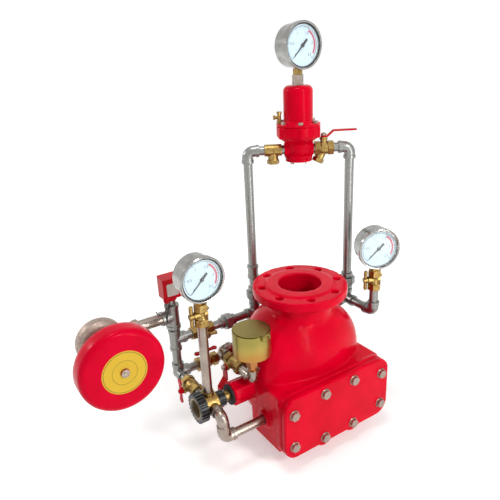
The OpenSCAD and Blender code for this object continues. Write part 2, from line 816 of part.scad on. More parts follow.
module drip_chamber() color(brass) difference() {
    union() {
        along_left(chamber_x0) cylinder(r = chamber_r, h = chamber_l);
        along_left(ring_x0 - cut) cylinder(r = chamber_r - chamber_step, h = ring_l + cut);
        along_left(ring_x0 + ring_l) intersection() {
            translate([0, 0, -chamber_r]) sphere(r = chamber_r * sqrt(2) - 3);
            cylinder(r = chamber_r - chamber_step, h = chamber_r);
        }
        for (v = [[0, 1, 0], [0, -1, 0], [0, 0, 1]]) translate([-port_x, 0, drip_z]) toward(v)
            cylinder(r = drip_port_r, h = chamber_r + 8);
    }
    along_left(chamber_x0 - cut) cylinder(r = nipple_r + fit_gap, h = 6 + cut);
    for (v = [[0, 1, 0], [0, -1, 0], [0, 0, 1]]) translate([-port_x, 0, drip_z]) toward(v) {
        translate([0, 0, chamber_r + 8 - engage]) cylinder(r = socket_r, h = engage + cut);
        cylinder(r = flow_r, h = chamber_r);
    }
    along_left(chamber_x0) cylinder(r = flow_r, h = chamber_l);
}

module drip_ring() color(dark) along_left(ring_x0) ribbed(ring_r, chamber_r - chamber_step + fit_gap, ring_l);

// Drain line
chamber_face = chamber_r + 8;

module drain_fittings() color(steel) {
    translate([-port_x, -drain_y, drip_z]) elbow([0, 1, 0], [0, 0, -1]);
    translate([-port_x, -drain_y, drain_z]) elbow([0, 0, 1], [1, 0, 0]);
}

module drain_pipes() color(steel) {
    pipe([-port_x, -chamber_face + engage, drip_z], [-port_x, -drain_y + shoulder, drip_z]);
    pipe([-port_x, -drain_y, drain_z + shoulder], [-port_x, -drain_y, drip_z - shoulder]);
    pipe([-port_x + shoulder, -drain_y, drain_z], drain_port + [engage, 0, 0]);
}

// Gauge riser on the drip chamber
module gauge_pipe() color(steel)
    pipe([-port_x, 0, drip_z + chamber_face - engage], [-port_x, 0, left_cock_z + engage]);

// Alarm line
alarm_valve_y = (chamber_face + rear_y - reach) / 2;
gong_reach = 30;

module gong_tee() {
    difference() {
        union() {
            translate([0, 0, -gong_reach]) cylinder(r = gong_socket_r + fitting_wall, h = 2 * gong_reach);
            for (s = [-1, 1]) translate([0, 0, s * (gong_reach - bead_w / 2) - bead_w / 2])
                cylinder(r = gong_socket_r + fitting_wall + bead, h = bead_w);
            arm([-1, 0, 0], 0, gong_reach, gong_socket_r + fitting_wall);
        }
        translate([0, 0, -gong_reach - cut]) cylinder(r = flow_r, h = 2 * (gong_reach + cut));
        for (s = [0, 1]) mirror([0, 0, s]) translate([0, 0, gong_reach - engage])
            cylinder(r = socket_r, h = engage + cut);
        arm_bore([-1, 0, 0], gong_reach, gong_socket_r);
    }
}

module alarm_fittings() color(steel) {
    translate([-port_x, rear_y, drip_z]) branch_fitting([[0, 0, 1], [1, 0, 0], [0, -1, 0]]);
    translate([-port_x, rear_y, bypass_z]) branch_fitting([[0, 0, 1], [0, 0, -1], [1, 0, 0]]);
    translate([-port_x, rear_y, gong_pipe_z]) gong_tee();
}

module alarm_pipes() color(steel) {
    pipe([-port_x, rear_y, drip_z + shoulder], [-port_x, rear_y, bypass_z - shoulder]);
    pipe([-port_x, rear_y, bypass_z + shoulder], [-port_x, rear_y, gong_pipe_z - gong_reach + engage]);
    pipe([-port_x, rear_y, gong_pipe_z + gong_reach - engage], [-port_x, rear_y, switch_z + engage]);
    pipe([-port_x, chamber_face - engage, drip_z], [-port_x, alarm_valve_y - valve_half + engage, drip_z]);
    pipe([-port_x, alarm_valve_y + valve_half - engage, drip_z], [-port_x, rear_y - shoulder, drip_z]);
}

gong_arm_x = gong_x - turbine_r - 34;

module gong_pipe() color(steel) translate([-port_x - gong_reach + engage, rear_y, gong_pipe_z])
    rotate([0, -90, 0]) ring(gong_pipe_r, gong_pipe_r - pipe_wall, gong_arm_x - port_x - gong_reach + 2 * engage);

alarm_valve_at = [-port_x, alarm_valve_y, drip_z];
test_valve_at = [-port_x + 78, rear_y, drip_z];
bypass_valve_at = [-port_x + 72, rear_y, bypass_z];
bypass_union_x = -115;

module alarm_valve() color(brass) place_valve(alarm_valve_at, [0, 1, 0], [-1, 0, 0]) ball_valve();

module alarm_handle() color(enamel_red) place_handle(alarm_valve_at, [0, 0, 1], [-1, 0, 0]) butterfly();

module test_valve() color(brass) place_valve(test_valve_at, [1, 0, 0], [0, 0, 1]) ball_valve();

module test_handle() color(enamel_red) place_handle(test_valve_at, [1, 0, 0], [0, 0, 1]) butterfly();

module bypass_valve() color(brass) place_valve(bypass_valve_at, [1, 0, 0], [0, -1, 0]) ball_valve();

module bypass_handle() color(brass) place_handle(bypass_valve_at, [1, 0, 0], [0, -1, 0]) {
    handle_stem(7, 10);
    translate([0, 0, face_gap + 5]) rotate([0, 90, 0]) rotate_extrude() polygon([
        [0, -26], [3, -26], [5, -24], [5, -20], [3.8, -17],
        [3.8, 17], [5, 20], [5, 24], [3, 26], [0, 26]
    ]);
}

module line_pipes() color(steel) {
    pipe([-port_x + shoulder, rear_y, drip_z], test_valve_at - [valve_half - engage, 0, 0]);
    pipe(test_valve_at + [valve_half - engage, 0, 0], [-test_x - shoulder, rear_y, drip_z]);
    pipe([-test_x, rear_y - shoulder, drip_z], test_port - [0, engage, 0]);
    pipe([-port_x + shoulder, rear_y, bypass_z], bypass_valve_at - [valve_half - engage, 0, 0]);
    pipe(bypass_valve_at + [valve_half - engage, 0, 0], [bypass_union_x - union_l / 2 + engage, rear_y, bypass_z]);
    pipe([bypass_union_x + union_l / 2 - engage, rear_y, bypass_z], [-loop_x - shoulder, rear_y, bypass_z]);
}

// Accelerator loop
loop_union_z = bypass_z + reach + union_l / 2 + 5;
loop_coupling_z = loop_union_z + 62;
return_union_z = return_z + reach + union_l / 2 + 5;
loop_dir = [cos(loop_turn), sin(loop_turn), 0];

module loop_fittings() color(steel) {
    translate([-test_x, rear_y, drip_z]) elbow([-1, 0, 0], [0, -1, 0]);
    translate([bypass_union_x, rear_y, bypass_z]) rotate([0, 90, 0]) union_joint();
    translate([loop_xy.x, loop_xy.y, bypass_z]) elbow([-1, 0, 0], [0, 0, 1]);
    translate([loop_xy.x, loop_xy.y, loop_union_z]) union_joint();
    translate([loop_xy.x, loop_xy.y, loop_coupling_z]) coupling(coupling_l);
    translate([loop_xy.x, loop_xy.y, loop_z]) rotate(loop_turn) elbow([1, 0, 0], [0, 0, -1]);
    translate([return_x, return_y, loop_z]) rotate(loop_turn) elbow([0, 0, -1], [-1, 0, 0]);
    translate([return_x, return_y, return_union_z]) union_joint();
    translate([return_x, return_y, return_z]) branch_fitting([[0, 0, 1], [-1, 0, 0], [0, -1, 0]]);
    translate([return_x, -right_gauge_y, return_z]) elbow([0, 1, 0], [0, 0, 1]);
}

// Point on the accelerator's port line, s from the accelerator towards the return riser
function on_loop(s) = [acc_xy.x, acc_xy.y, loop_z] + s * loop_dir;

module loop_pipes() color(steel) {
    up = union_l / 2 - engage;
    c = [loop_xy.x, loop_xy.y, 0];
    d = [return_x, return_y, 0];
    pipe(c + [0, 0, bypass_z + shoulder], c + [0, 0, loop_union_z - up]);
    pipe(c + [0, 0, loop_union_z + up], c + [0, 0, loop_coupling_z - coupling_l / 2 + engage]);
    pipe(c + [0, 0, loop_coupling_z + coupling_l / 2 - engage], c + [0, 0, loop_z - shoulder]);
    pipe(d + [0, 0, return_z + shoulder], d + [0, 0, return_union_z - up]);
    pipe(d + [0, 0, return_union_z + up], d + [0, 0, loop_z - shoulder]);
    pipe(return_port - [engage, 0, 0], [return_x - shoulder, return_y, return_z]);
    pipe([return_x, return_y - shoulder, return_z], [return_x, -right_gauge_y + shoulder, return_z]);
    pipe([return_x, -right_gauge_y, return_z + shoulder], [return_x, -right_gauge_y, right_cock_z + engage]);
    pipe(on_loop(shoulder - acc_s), on_loop(-acc_tee_x - acc_tee_half + engage));
    pipe(on_loop(-acc_tee_x + acc_tee_half - engage), on_loop(-acc_port_x + engage));
    pipe(on_loop(acc_port_x - engage), on_loop(acc_valve_x - acc_valve_half + engage));
    pipe(on_loop(acc_valve_x + acc_valve_half - engage), on_loop(loop_span - acc_s - shoulder));
}

// Accelerator, with its ports along X at the origin
acc_valve_half = 22;
acc_bolt_r = 42;
acc_vent_r = acc_bolt_r + 1.5;
acc_joint = acc_flange_up - acc_dome_flange_t;

module at_accelerator() {
    translate([acc_xy.x, acc_xy.y, loop_z]) rotate(loop_turn) children();
}

module at_acc_bolts() {
    for (i = [0 : acc_bolts - 1]) rotate((i + 0.5) * 360 / acc_bolts) translate([acc_bolt_r, 0, 0]) children();
}

module acc_body() color(enamel_red) at_accelerator() difference() {
    union() {
        rotate_extrude() polygon([
            [0, -acc_foot_down], [acc_foot_r, -acc_foot_down], [acc_foot_r, -acc_foot_down + 8],
            [acc_body_r - 3, -acc_foot_down + 12], [acc_body_r, 0], [acc_body_r + 2, 14],
            [acc_flange_r - 3, acc_joint - acc_flange_t], [acc_flange_r, acc_joint - acc_flange_t + 4],
            [acc_flange_r, acc_joint], [0, acc_joint]
        ]);
        rotate([0, 90, 0]) translate([0, 0, -acc_port_x]) cylinder(r = body_r + 2, h = 2 * acc_port_x);
        for (i = [0 : acc_bolts - 1]) rotate((i + 0.5) * 360 / acc_bolts)
            translate([acc_bolt_r + 2, 0, acc_joint - acc_flange_t]) cylinder(r = 9, h = acc_flange_t);
    }
    for (s = [0, 1]) mirror([s, 0, 0]) translate([acc_port_x - engage, 0, 0]) rotate([0, 90, 0])
        cylinder(r = socket_r, h = engage + cut);
    at_acc_bolts() translate([0, 0, acc_joint - 14]) cylinder(r = 3 + fit_gap, h = 14 + cut);
    rotate(180) translate([acc_vent_r, 0, acc_joint - 8]) cylinder(r = 4 + fit_gap, h = 8 + cut);
    for (i = [0 : 3]) rotate(i * 90 + 45) translate([acc_foot_r - 8, 0, -acc_foot_down - cut])
        cylinder(r = 2.5 + fit_gap, h = 7 + cut);
}

module acc_dome() color(enamel_red) at_accelerator() {
    side = acc_dome_h - acc_dome_round;
    inner = acc_dome_r - acc_dome_round;
    arc = [for (i = [0 : 8]) [inner + acc_dome_round * cos(i * 11.25), side + acc_dome_round * sin(i * 11.25)]];
    difference() {
        union() {
            translate([0, 0, acc_flange_up]) rotate_extrude() polygon(concat(
                [[0, -cut], [acc_dome_r + 3, -cut], [acc_dome_r + 3, 2], [acc_dome_r, 6]], arc, [[0, acc_dome_h]]
            ));
            translate([0, 0, acc_joint]) cylinder(r = acc_flange_r, h = acc_dome_flange_t);
        }
        translate([0, 0, acc_joint - cut]) cylinder(r = acc_dome_r - 5, h = acc_dome_h - 4);
        translate([0, 0, acc_flange_up]) cylinder(r = 8 + fit_gap, h = acc_dome_h + cut);
        at_acc_bolts() translate([0, 0, acc_joint - cut]) cylinder(r = 3.3, h = acc_dome_flange_t + 2 * cut);
        rotate(180) translate([acc_vent_r, 0, acc_joint - cut]) cylinder(r = 4.3, h = acc_dome_flange_t + 2 * cut);
    }
}

module acc_bolts_set() color(steel) at_accelerator() {
    at_acc_bolts() {
        translate([0, 0, acc_flange_up]) hexagon(10, 6);
        translate([0, 0, acc_joint - 13]) cylinder(r = 3, h = 13 + acc_dome_flange_t);
    }
    for (i = [0 : 3]) rotate(i * 90 + 45) translate([acc_foot_r - 8, 0, -acc_foot_down - acc_cap_t]) {
        translate([0, 0, -5]) hexagon(8, 5);
        cylinder(r = 2.5, h = acc_cap_t + 6);
    }
}

module acc_cap() color(enamel_red) at_accelerator() difference() {
    translate([0, 0, -acc_foot_down - acc_cap_t]) cylinder(r = acc_foot_r - 1, h = acc_cap_t);
    for (i = [0 : 3]) rotate(i * 90 + 45) translate([acc_foot_r - 8, 0, -acc_foot_down - acc_cap_t - cut])
        cylinder(r = 2.8, h = acc_cap_t + 2 * cut);
}

module acc_adapter() color(steel) at_accelerator() translate([0, 0, acc_flange_up + acc_dome_h]) difference() {
    union() {
        hexagon(22, acc_adapter_h);
        translate([0, 0, -4]) cylinder(r = 8, h = 5);
    }
    translate([0, 0, acc_adapter_h - 12]) cylinder(r = gauge_stem_r + fit_gap, h = 12 + cut);
}

module acc_vent() color(brass) at_accelerator() rotate(180) translate([acc_vent_r, 0, 0]) {
    translate([0, 0, acc_joint - 7]) cylinder(r = 4, h = acc_dome_flange_t + 7);
    translate([0, 0, acc_flange_up]) hexagon(11, 7);
    translate([0, 0, acc_flange_up + 7]) cylinder(r = 4.6, h = 16);
    translate([0, 0, acc_flange_up + 14]) rotate([0, 90, 0]) cylinder(r = 4, h = 11);
    translate([10, 0, acc_flange_up + 14]) rotate([0, 90, 0]) hexagon(9, 4);
    translate([0, 0, acc_flange_up + 23]) cylinder(r = 6, h = 4);
}

module acc_tee() color(brass) at_accelerator() translate([-acc_tee_x, 0, 0]) difference() {
    union() {
        translate([-acc_tee_half, 0, 0]) rotate([0, 90, 0]) cylinder(r = body_r + 0.8, h = 2 * acc_tee_half);
        translate([0, 0, -26]) cylinder(r = body_r - 1, h = 26);
        translate([0, 0, -31]) hexagon(25, 9);
    }
    for (s = [0, 1]) mirror([s, 0, 0]) translate([acc_tee_half - engage, 0, 0]) rotate([0, 90, 0])
        cylinder(r = socket_r, h = engage + cut);
    translate([-acc_tee_half, 0, 0]) rotate([0, 90, 0]) cylinder(r = flow_r, h = 2 * acc_tee_half);
}

// Ball valve with a strainer leg, run along X and stem up
module acc_valve() color(brass) at_accelerator() translate([acc_valve_x, 0, 0]) {
    set_axes([1, 0, 0], [0, 0, 1]) ball_valve(acc_valve_half);
    leg_r = 10.5;
    leg_l = 27;
    leg_turn = 205;
    difference() {
        rotate([0, leg_turn, 0]) {
            cylinder(r = leg_r, h = leg_l);
            translate([0, 0, leg_l - cut]) hexagon(2 * leg_r + 3, 9);
        }
        rotate([0, 90, 0]) translate([0, 0, -acc_valve_half - cut])
            cylinder(r = socket_r, h = 2 * (acc_valve_half + cut));
    }
}

module acc_lever() color(enamel_red) at_accelerator() translate([acc_valve_x, 0, bonnet_h]) {
    bend_x = 14;
    rise = 12;
    slope = atan2(rise, bend_x);
    handle_stem(7, 3);
    translate([0, 0, face_gap + 3]) hexagon(9, 4);
    translate([0, -6, face_gap]) cube([10, 12, 3]);
    translate([9, -6, face_gap]) rotate([0, -slope, 0]) cube([norm([bend_x, rise]) + 1, 12, 3]);
    translate([9 + bend_x - 1, -6, face_gap + rise]) cube([acc_lever_l - bend_x - 15, 12, 3.5]);
    translate([acc_lever_l - 7, 0, face_gap + rise]) cylinder(r = 6, h = 3.5);
}

// Gauge cock along Z, handle on the side towards -X
module gauge_cock() {
    hex_l = 16;
    mid = cock_h / 2;
    difference() {
        union() {
            hexagon(28.5, hex_l);
            translate([0, 0, hex_l - cut]) cylinder(r1 = 12.5, r2 = 9.5, h = 8);
            translate([0, 0, 10]) cylinder(r = 9.5, h = cock_h - 14);
            translate([0, 0, mid]) rotate([0, 90, 0]) translate([0, 0, -17]) cylinder(r = 8.5, h = 30);
            translate([0, 0, mid + 4]) rotate([0, 55, 0]) cylinder(r = 7, h = 19);
            translate([0, 0, cock_h - hex_l - 4]) cylinder(r1 = 9.5, r2 = 12.5, h = 5);
            translate([0, 0, cock_h - hex_l]) hexagon(27, hex_l);
        }
        translate([0, 0, -cut]) cylinder(r = socket_r, h = engage + cut);
        translate([0, 0, cock_h - 12]) cylinder(r = gauge_stem_r + fit_gap, h = 12 + cut);
        translate([0, 0, mid]) rotate([0, -90, 0]) translate([0, 0, 5]) cylinder(r = stem_r + run_gap, h = 12 + cut);
    }
}

module cock_handle() {
    out = 17 + face_gap;
    translate([0, 0, cock_h / 2]) rotate([0, -90, 0]) {
        translate([0, 0, 6]) cylinder(r = stem_r, h = out + 1);
        translate([0, 0, out]) cylinder(r = 6.5, h = 10);
        translate([0, 0, out + 5]) rotate([0, 90, 0]) rotate_extrude() polygon([
            [0, -t_handle_l / 2], [3, -t_handle_l / 2], [4.4, 2 - t_handle_l / 2], [4.4, -8], [3.8, -7],
            [3.8, 7], [4.4, 8], [4.4, t_handle_l / 2 - 2], [3, t_handle_l / 2], [0, t_handle_l / 2]
        ]);
    }
}

left_cock_at = [-port_x, 0, left_cock_z];
right_cock_at = [return_x, -right_gauge_y, right_cock_z];

module gauge_cocks() color(brass) {
    translate(left_cock_at) gauge_cock();
    translate(right_cock_at) rotate(-right_gauge_turn) gauge_cock();
}

module left_cock_handle() color(brass) translate(left_cock_at) cock_handle();

module right_cock_handle() color(brass) translate(right_cock_at) rotate(-right_gauge_turn) cock_handle();

// Gauges, each built at the origin with its dial towards +Z and its stem towards -Y
gauge_up = [0, 0, gauge_rise];
gauge_places = [
    [left_cock_at + gauge_up, 0],
    [right_cock_at + gauge_up, right_gauge_turn],
    [[acc_xy.x, acc_xy.y, top_gauge_z], 0]
];
dial_r = gauge_r - 3.2;
dial_z = gauge_front - 12;
dial_t = 1.2;
lens_t = 3;
spindle_pin_r = 1.5;
gauge_stem_r = 7;
stem_in_case = 4;

module at_gauge(i) {
    translate(gauge_places[i][0]) rotate([90, 0, -gauge_places[i][1]]) children();
}

module gauge_case() {
    difference() {
        translate([0, 0, -gauge_back]) cylinder(r = gauge_r, h = gauge_back + gauge_front);
        translate([0, 0, -gauge_back + 3]) cylinder(r = dial_r - 4, h = gauge_back + gauge_front);
        translate([0, 0, dial_z]) cylinder(r = dial_r + fit_gap, h = gauge_front);
        rotate([90, 0, 0]) translate([0, 0, gauge_r - stem_in_case]) cylinder(r = gauge_stem_r + fit_gap, h = gauge_r);
    }
}

// Stem of a gauge, with a square for the spanner
module gauge_stem() {
    foot = bezel_r + stem_show;
    rotate([90, 0, 0]) {
        translate([0, 0, gauge_r - stem_in_case]) cylinder(r = gauge_stem_r, h = foot + stem_in - gauge_r + stem_in_case);
        translate([0, 0, gauge_r + 0.3]) rotate(45) cylinder(d = 3 * gauge_stem_r, h = foot - gauge_r - 0.3, $fn = 4);
    }
}

module gauge_bezel() {
    lip = 4;
    translate([0, 0, gauge_front - 9]) ring(bezel_r, gauge_r + fit_gap, 9 + lens_t);
    translate([0, 0, gauge_front + lens_t - 0.01]) difference() {
        cylinder(r1 = bezel_r, r2 = bezel_r - 2, h = 3);
        translate([0, 0, -cut]) cylinder(r = gauge_r - lip, h = 3 + 2 * cut);
    }
}

module gauge_dial() {
    translate([0, 0, dial_z]) ring(dial_r, spindle_pin_r + run_gap, dial_t);
}

module pointer() {
    z = dial_z + dial_t + 2.4;
    rotate(135) {
        translate([0, 0, dial_z - 5]) cylinder(r = spindle_pin_r, h = 10);
        translate([0, 0, z]) cylinder(r = 4.2, h = 2);
        translate([0, 0, z]) linear_extrude(1) polygon([
            [-1.8, 0], [-0.5, pointer_l], [0.5, pointer_l], [1.8, 0], [2.6, -17], [-2.6, -17]
        ]);
    }
}

module gauge_cases() color(steel) for (i = [0 : 2]) at_gauge(i) gauge_case();

module gauge_stems() color(brass) for (i = [0 : 2]) at_gauge(i) gauge_stem();

module gauge_bezels() color(steel) for (i = [0 : 2]) at_gauge(i) gauge_bezel();

module gauge_dials() color([0.8, 0.9, 0.95]) for (i = [0 : 2]) at_gauge(i) gauge_dial();

module gauge_lenses() color([0.9, 0.95, 1, 0.3]) for (i = [0 : 2]) at_gauge(i)
    translate([0, 0, gauge_front]) cylinder(r = gauge_r, h = lens_t - fit_gap);

module left_pointer() color(dark) at_gauge(0) pointer();

module right_pointer() color(dark) at_gauge(1) pointer();

module top_pointer() color(dark) at_gauge(2) pointer();

// Priming line
cup_xy = [-prime_x, -cup_y];
prime_valve_at = [-prime_x, prime_valve_y, prime_z];
prime_bend_at = [-prime_x, prime_bend_y, prime_z];

module priming_fittings() color(steel) {
    translate([cup_xy.x, cup_xy.y, prime_z]) elbow([0, 1, 0], [0, 0, 1]);
    translate(prime_bend_at) elbow([0, -1, 0], [1, 0, 0]);
}

module priming_pipes() color(steel) {
    pipe([-prime_x, -cup_y + shoulder, prime_z], prime_valve_at - [0, valve_half - engage, 0]);
    pipe(prime_valve_at + [0, valve_half - engage, 0], prime_bend_at - [0, shoulder, 0]);
    pipe(prime_bend_at + [shoulder, 0, 0], prime_port + [engage, 0, 0]);
}

module priming_valve() color(brass) place_valve(prime_valve_at, [0, 1, 0], [-1, 0, 0]) ball_valve();

module priming_lever() color(enamel_red) translate(prime_valve_at - [bonnet_h, 0, 0]) rotate([0, -90, 0]) {
    out = 16;
    knee = 30;
    bend = 22;
    strip_t = 3.5;
    strip_w = 14;
    tip = prime_lever_l - strip_w / 2;
    handle_stem(7.5, strip_t);
    translate([0, 0, strip_t]) hexagon(10, 5);
    translate([0, strip_w / 2, face_gap]) rotate([90, 0, 0]) linear_extrude(strip_w) polygon([
        [5, 0], [-knee, 0], [-knee - bend, out], [-tip, out],
        [-tip, out + strip_t], [-knee - bend + 1.5, out + strip_t], [-knee + 1.5, strip_t], [5, strip_t]
    ]);
    translate([-tip, 0, face_gap + out]) cylinder(d = strip_w, h = strip_t);
}

module at_cup() {
    translate([cup_xy.x, cup_xy.y, 0]) rotate(-lid_turn) children();
}

hinge_r = cup_r + 3.4;
lid_z = cup_top_z + face_gap;

module priming_cup() color([0.72, 0.62, 0.30]) at_cup() difference() {
    union() {
        translate([0, 0, cup_base_z]) cylinder(r1 = 15, r2 = cup_r, h = cup_cone_h);
        translate([0, 0, cup_base_z + cup_cone_h]) cylinder(r = cup_r, h = cup_h);
        translate([0, 0, cup_base_z - 15]) hexagon(26, 15 + cut);
        translate([0, 0, prime_z + shoulder]) cylinder(r = pipe_r, h = cup_base_z - prime_z - shoulder);
        for (s = [-1, 1]) translate([cup_r - 1.5, s * 9 - 1.2, lid_z - 7.4]) cube([hinge_r + 3.4 - cup_r + 1.5, 2.4, 9]);
        translate([hinge_r, -10.2, lid_z + lid_t / 2]) rotate([-90, 0, 0]) cylinder(r = lid_pin_r, h = 20.4);
    }
    translate([0, 0, cup_base_z + cup_wall]) cylinder(r1 = 15 - cup_wall, r2 = cup_r - cup_wall, h = cup_cone_h);
    translate([0, 0, cup_base_z + cup_wall + cup_cone_h - 0.01]) cylinder(r = cup_r - cup_wall, h = cup_h + cut);
    translate([0, 0, prime_z]) cylinder(r = flow_r, h = cup_top_z - prime_z - cup_h / 2);
}

module cup_lid() color([0.74, 0.66, 0.34]) at_cup() difference() {
    knuckle_r = lid_pin_r + run_gap + 1.1;
    union() {
        translate([0, 0, lid_z]) cylinder(r = cup_r - 2.4, h = lid_t);
        translate([cup_r - 12, -6, lid_z]) cube([hinge_r - cup_r + 12, 12, lid_t]);
        translate([hinge_r, -7.4, lid_z + lid_t / 2]) rotate([-90, 0, 0]) cylinder(r = knuckle_r, h = 14.8);
    }
    translate([hinge_r, -8, lid_z + lid_t / 2]) rotate([-90, 0, 0]) cylinder(r = lid_pin_r + run_gap, h = 16);
}

// Pressure switch
module pressure_switch() color(enamel_red) translate([-port_x, rear_y, switch_z]) difference() {
    union() {
        translate([0, 0, 8]) linear_extrude(switch_h) {
            square([switch_w - 2 * switch_corner_r, switch_d], center = true);
            square([switch_w, switch_d - 2 * switch_corner_r], center = true);
            for (x = [-1, 1], y = [-1, 1])
                translate([x * (switch_w / 2 - switch_corner_r), y * (switch_d / 2 - switch_corner_r)])
                    circle(r = switch_corner_r);
        }
        cylinder(r = body_r + 1, h = 8 + cut);
        translate([-gland_x, -gland_y, 0]) cylinder(r = 5.5, h = 8 + cut);
        translate([-gland_x, -gland_y, 3]) hexagon(13, 5 + cut);
    }
    translate([0, 0, -cut]) cylinder(r = socket_r, h = engage + cut);
}

// Tube swept along a route, eight sides
function tangent(p, i) = p[min(i + 1, len(p) - 1)] - p[max(i - 1, 0)];
function lead_ring(p, i, r) = let (
    t = tangent(p, i) / norm(tangent(p, i)),
    u = cross(t, [0, 1, 0]) / norm(cross(t, [0, 1, 0])),
    w = cross(t, u)
) [for (k = [0 : 7]) p[i] + r * (cos(k * 45) * u + sin(k * 45) * w)];

module lead(p, r) {
    n = len(p);
    points = [for (i = [0 : n - 1]) each lead_ring(p, i, r)];
    sides = [for (i = [0 : n - 2], k = [0 : 7])
        [i * 8 + k, i * 8 + (k + 1) % 8, (i + 1) * 8 + (k + 1) % 8, (i + 1) * 8 + k]];
    start = [for (k = [0 : 7]) 7 - k];
    end = [for (k = [0 : 7]) (n - 1) * 8 + k];
    polyhedron(points, concat(sides, [start, end]));
}

module switch_leads() color(dark) {
    lead(lead_a, lead_d / 2);
    lead(lead_b, lead_d / 2);
}

// Water motor gong, its axis along Y; distances are measured forward from the middle
module along_gong(y) {
    translate([-gong_x, y, gong_z]) rotate([90, 0, 0]) children();
}

turbine_back = turbine_y + turbine_half;
turbine_front = turbine_y - turbine_half;
neck_end = bell_back + 8;

module gong_housing() color(steel) difference() {
    union() {
        along_gong(turbine_back) cylinder(r = turbine_r, h = 2 * turbine_half);
        along_gong(turbine_front + cut) cylinder(r1 = 30, r2 = gong_neck_r, h = 12);
        along_gong(turbine_front + cut) cylinder(r = gong_neck_r, h = turbine_front - neck_end + cut);
        translate([-gong_arm_x, turbine_y, gong_pipe_z]) rotate([0, -90, 0])
            cylinder(r = gong_socket_r + 3.5, h = gong_x - gong_arm_x - turbine_r / 2);
        translate([-gong_arm_x, turbine_y, gong_pipe_z]) rotate([0, -90, 0])
            cylinder(r = gong_socket_r + 5.5, h = 10);
    }
    along_gong(turbine_back - turbine_wall) cylinder(r = turbine_r - turbine_wall, h = 2 * (turbine_half - turbine_wall));
    translate([-gong_arm_x + cut, turbine_y, gong_pipe_z]) rotate([0, -90, 0]) {
        cylinder(r = gong_socket_r, h = engage + cut);
        cylinder(r = 5, h = gong_x - gong_arm_x);
    }
    along_gong(turbine_back - turbine_wall) cylinder(r = sleeve_r + run_gap, h = turbine_back - neck_end + cut);
    along_gong(turbine_back + cut) cylinder(r = spindle_r + fit_gap, h = turbine_wall + 2 * cut);
}

module gong_bell() color(enamel_red) along_gong(bell_back) {
    side = bell_depth - bell_round;
    inner = bell_r - bell_round;
    outer_arc = [for (i = [0 : 8]) [inner + bell_round * cos(i * 11.25), side + bell_round * sin(i * 11.25)]];
    round_in = bell_round - bell_wall;
    inner_arc = [for (i = [8 : -1 : 0]) [inner + round_in * cos(i * 11.25), side + round_in * sin(i * 11.25)]];
    hole = spindle_r + fit_gap;
    rotate_extrude($fn = 96) polygon(concat(
        [[bell_r - bell_wall, 0], [bell_r, 0]], outer_arc,
        [[hole, bell_depth], [hole, bell_depth - bell_wall]], inner_arc
    ));
}

module gong_spindle() color(steel) {
    collar_h = 6;
    along_gong(turbine_back + 4) cylinder(r = spindle_r, h = turbine_back + 4 - bell_front + 7);
    along_gong(turbine_back + 6) hexagon(18, 6);
    along_gong(bell_front + bell_wall + collar_h) cylinder(r = spindle_r + 4, h = collar_h);
    along_gong(bell_front) hexagon(16, 6);
}

module gong_rotor() color(brass) {
    sleeve_end = bell_front + bell_wall + 8;
    inside = turbine_half - turbine_wall;
    blade_h = 2 * inside - 8;
    striker_y = bell_front + 30;
    striker_reach = bell_r - bell_wall - 18;
    difference() {
        union() {
            along_gong(turbine_y + inside - face_gap)
                cylinder(r = sleeve_r, h = turbine_y + inside - face_gap - sleeve_end);
            along_gong(turbine_y + blade_h / 2) cylinder(r = sleeve_r + 6, h = blade_h);
            along_gong(turbine_y + blade_h / 2) for (i = [0 : blade_n - 1]) rotate(i * 360 / blade_n)
                translate([sleeve_r, -1.5, 0]) cube([turbine_r - turbine_wall - 4 - sleeve_r, 3, blade_h]);
            along_gong(striker_y + 7) cylinder(r = sleeve_r + 5, h = 14);
            along_gong(striker_y + 3) translate([-5, -striker_reach, 0]) cube([10, striker_reach, 6]);
            translate([-gong_x, striker_y, gong_z - striker_reach]) sphere(r = 9);
        }
        along_gong(turbine_back) cylinder(r = spindle_r + run_gap, h = turbine_back);
    }
}

valve_body();
hand_cover();
gaskets();
cover_bolts();
seat_ring();
clapper();
clapper_facing();
hinge_pins();
latch();
drip_nipple();
drip_nut();
drip_chamber();
drip_ring();
drain_fittings();
drain_pipes();
gauge_pipe();
alarm_fittings();
alarm_pipes();
gong_pipe();
alarm_valve();
alarm_handle();
test_valve();
test_handle();
bypass_valve();
bypass_handle();
line_pipes();
loop_fittings();
loop_pipes();
acc_body();
acc_dome();
acc_bolts_set();
acc_cap();
acc_adapter();
acc_vent();
acc_tee();
acc_valve();
acc_lever();
gauge_cocks();
left_cock_handle();
right_cock_handle();
gauge_cases();
gauge_stems();
gauge_bezels();
gauge_dials();
gauge_lenses();
left_pointer();
right_pointer();
top_pointer();
priming_fittings();
priming_pipes();
priming_valve();
priming_lever();
priming_cup();
cup_lid();
pressure_switch();
switch_leads();
gong_housing();
gong_bell();
gong_spindle();
gong_rotor();
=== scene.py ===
import json
import math

import bmesh
import bpy
from mathutils import Matrix, Vector


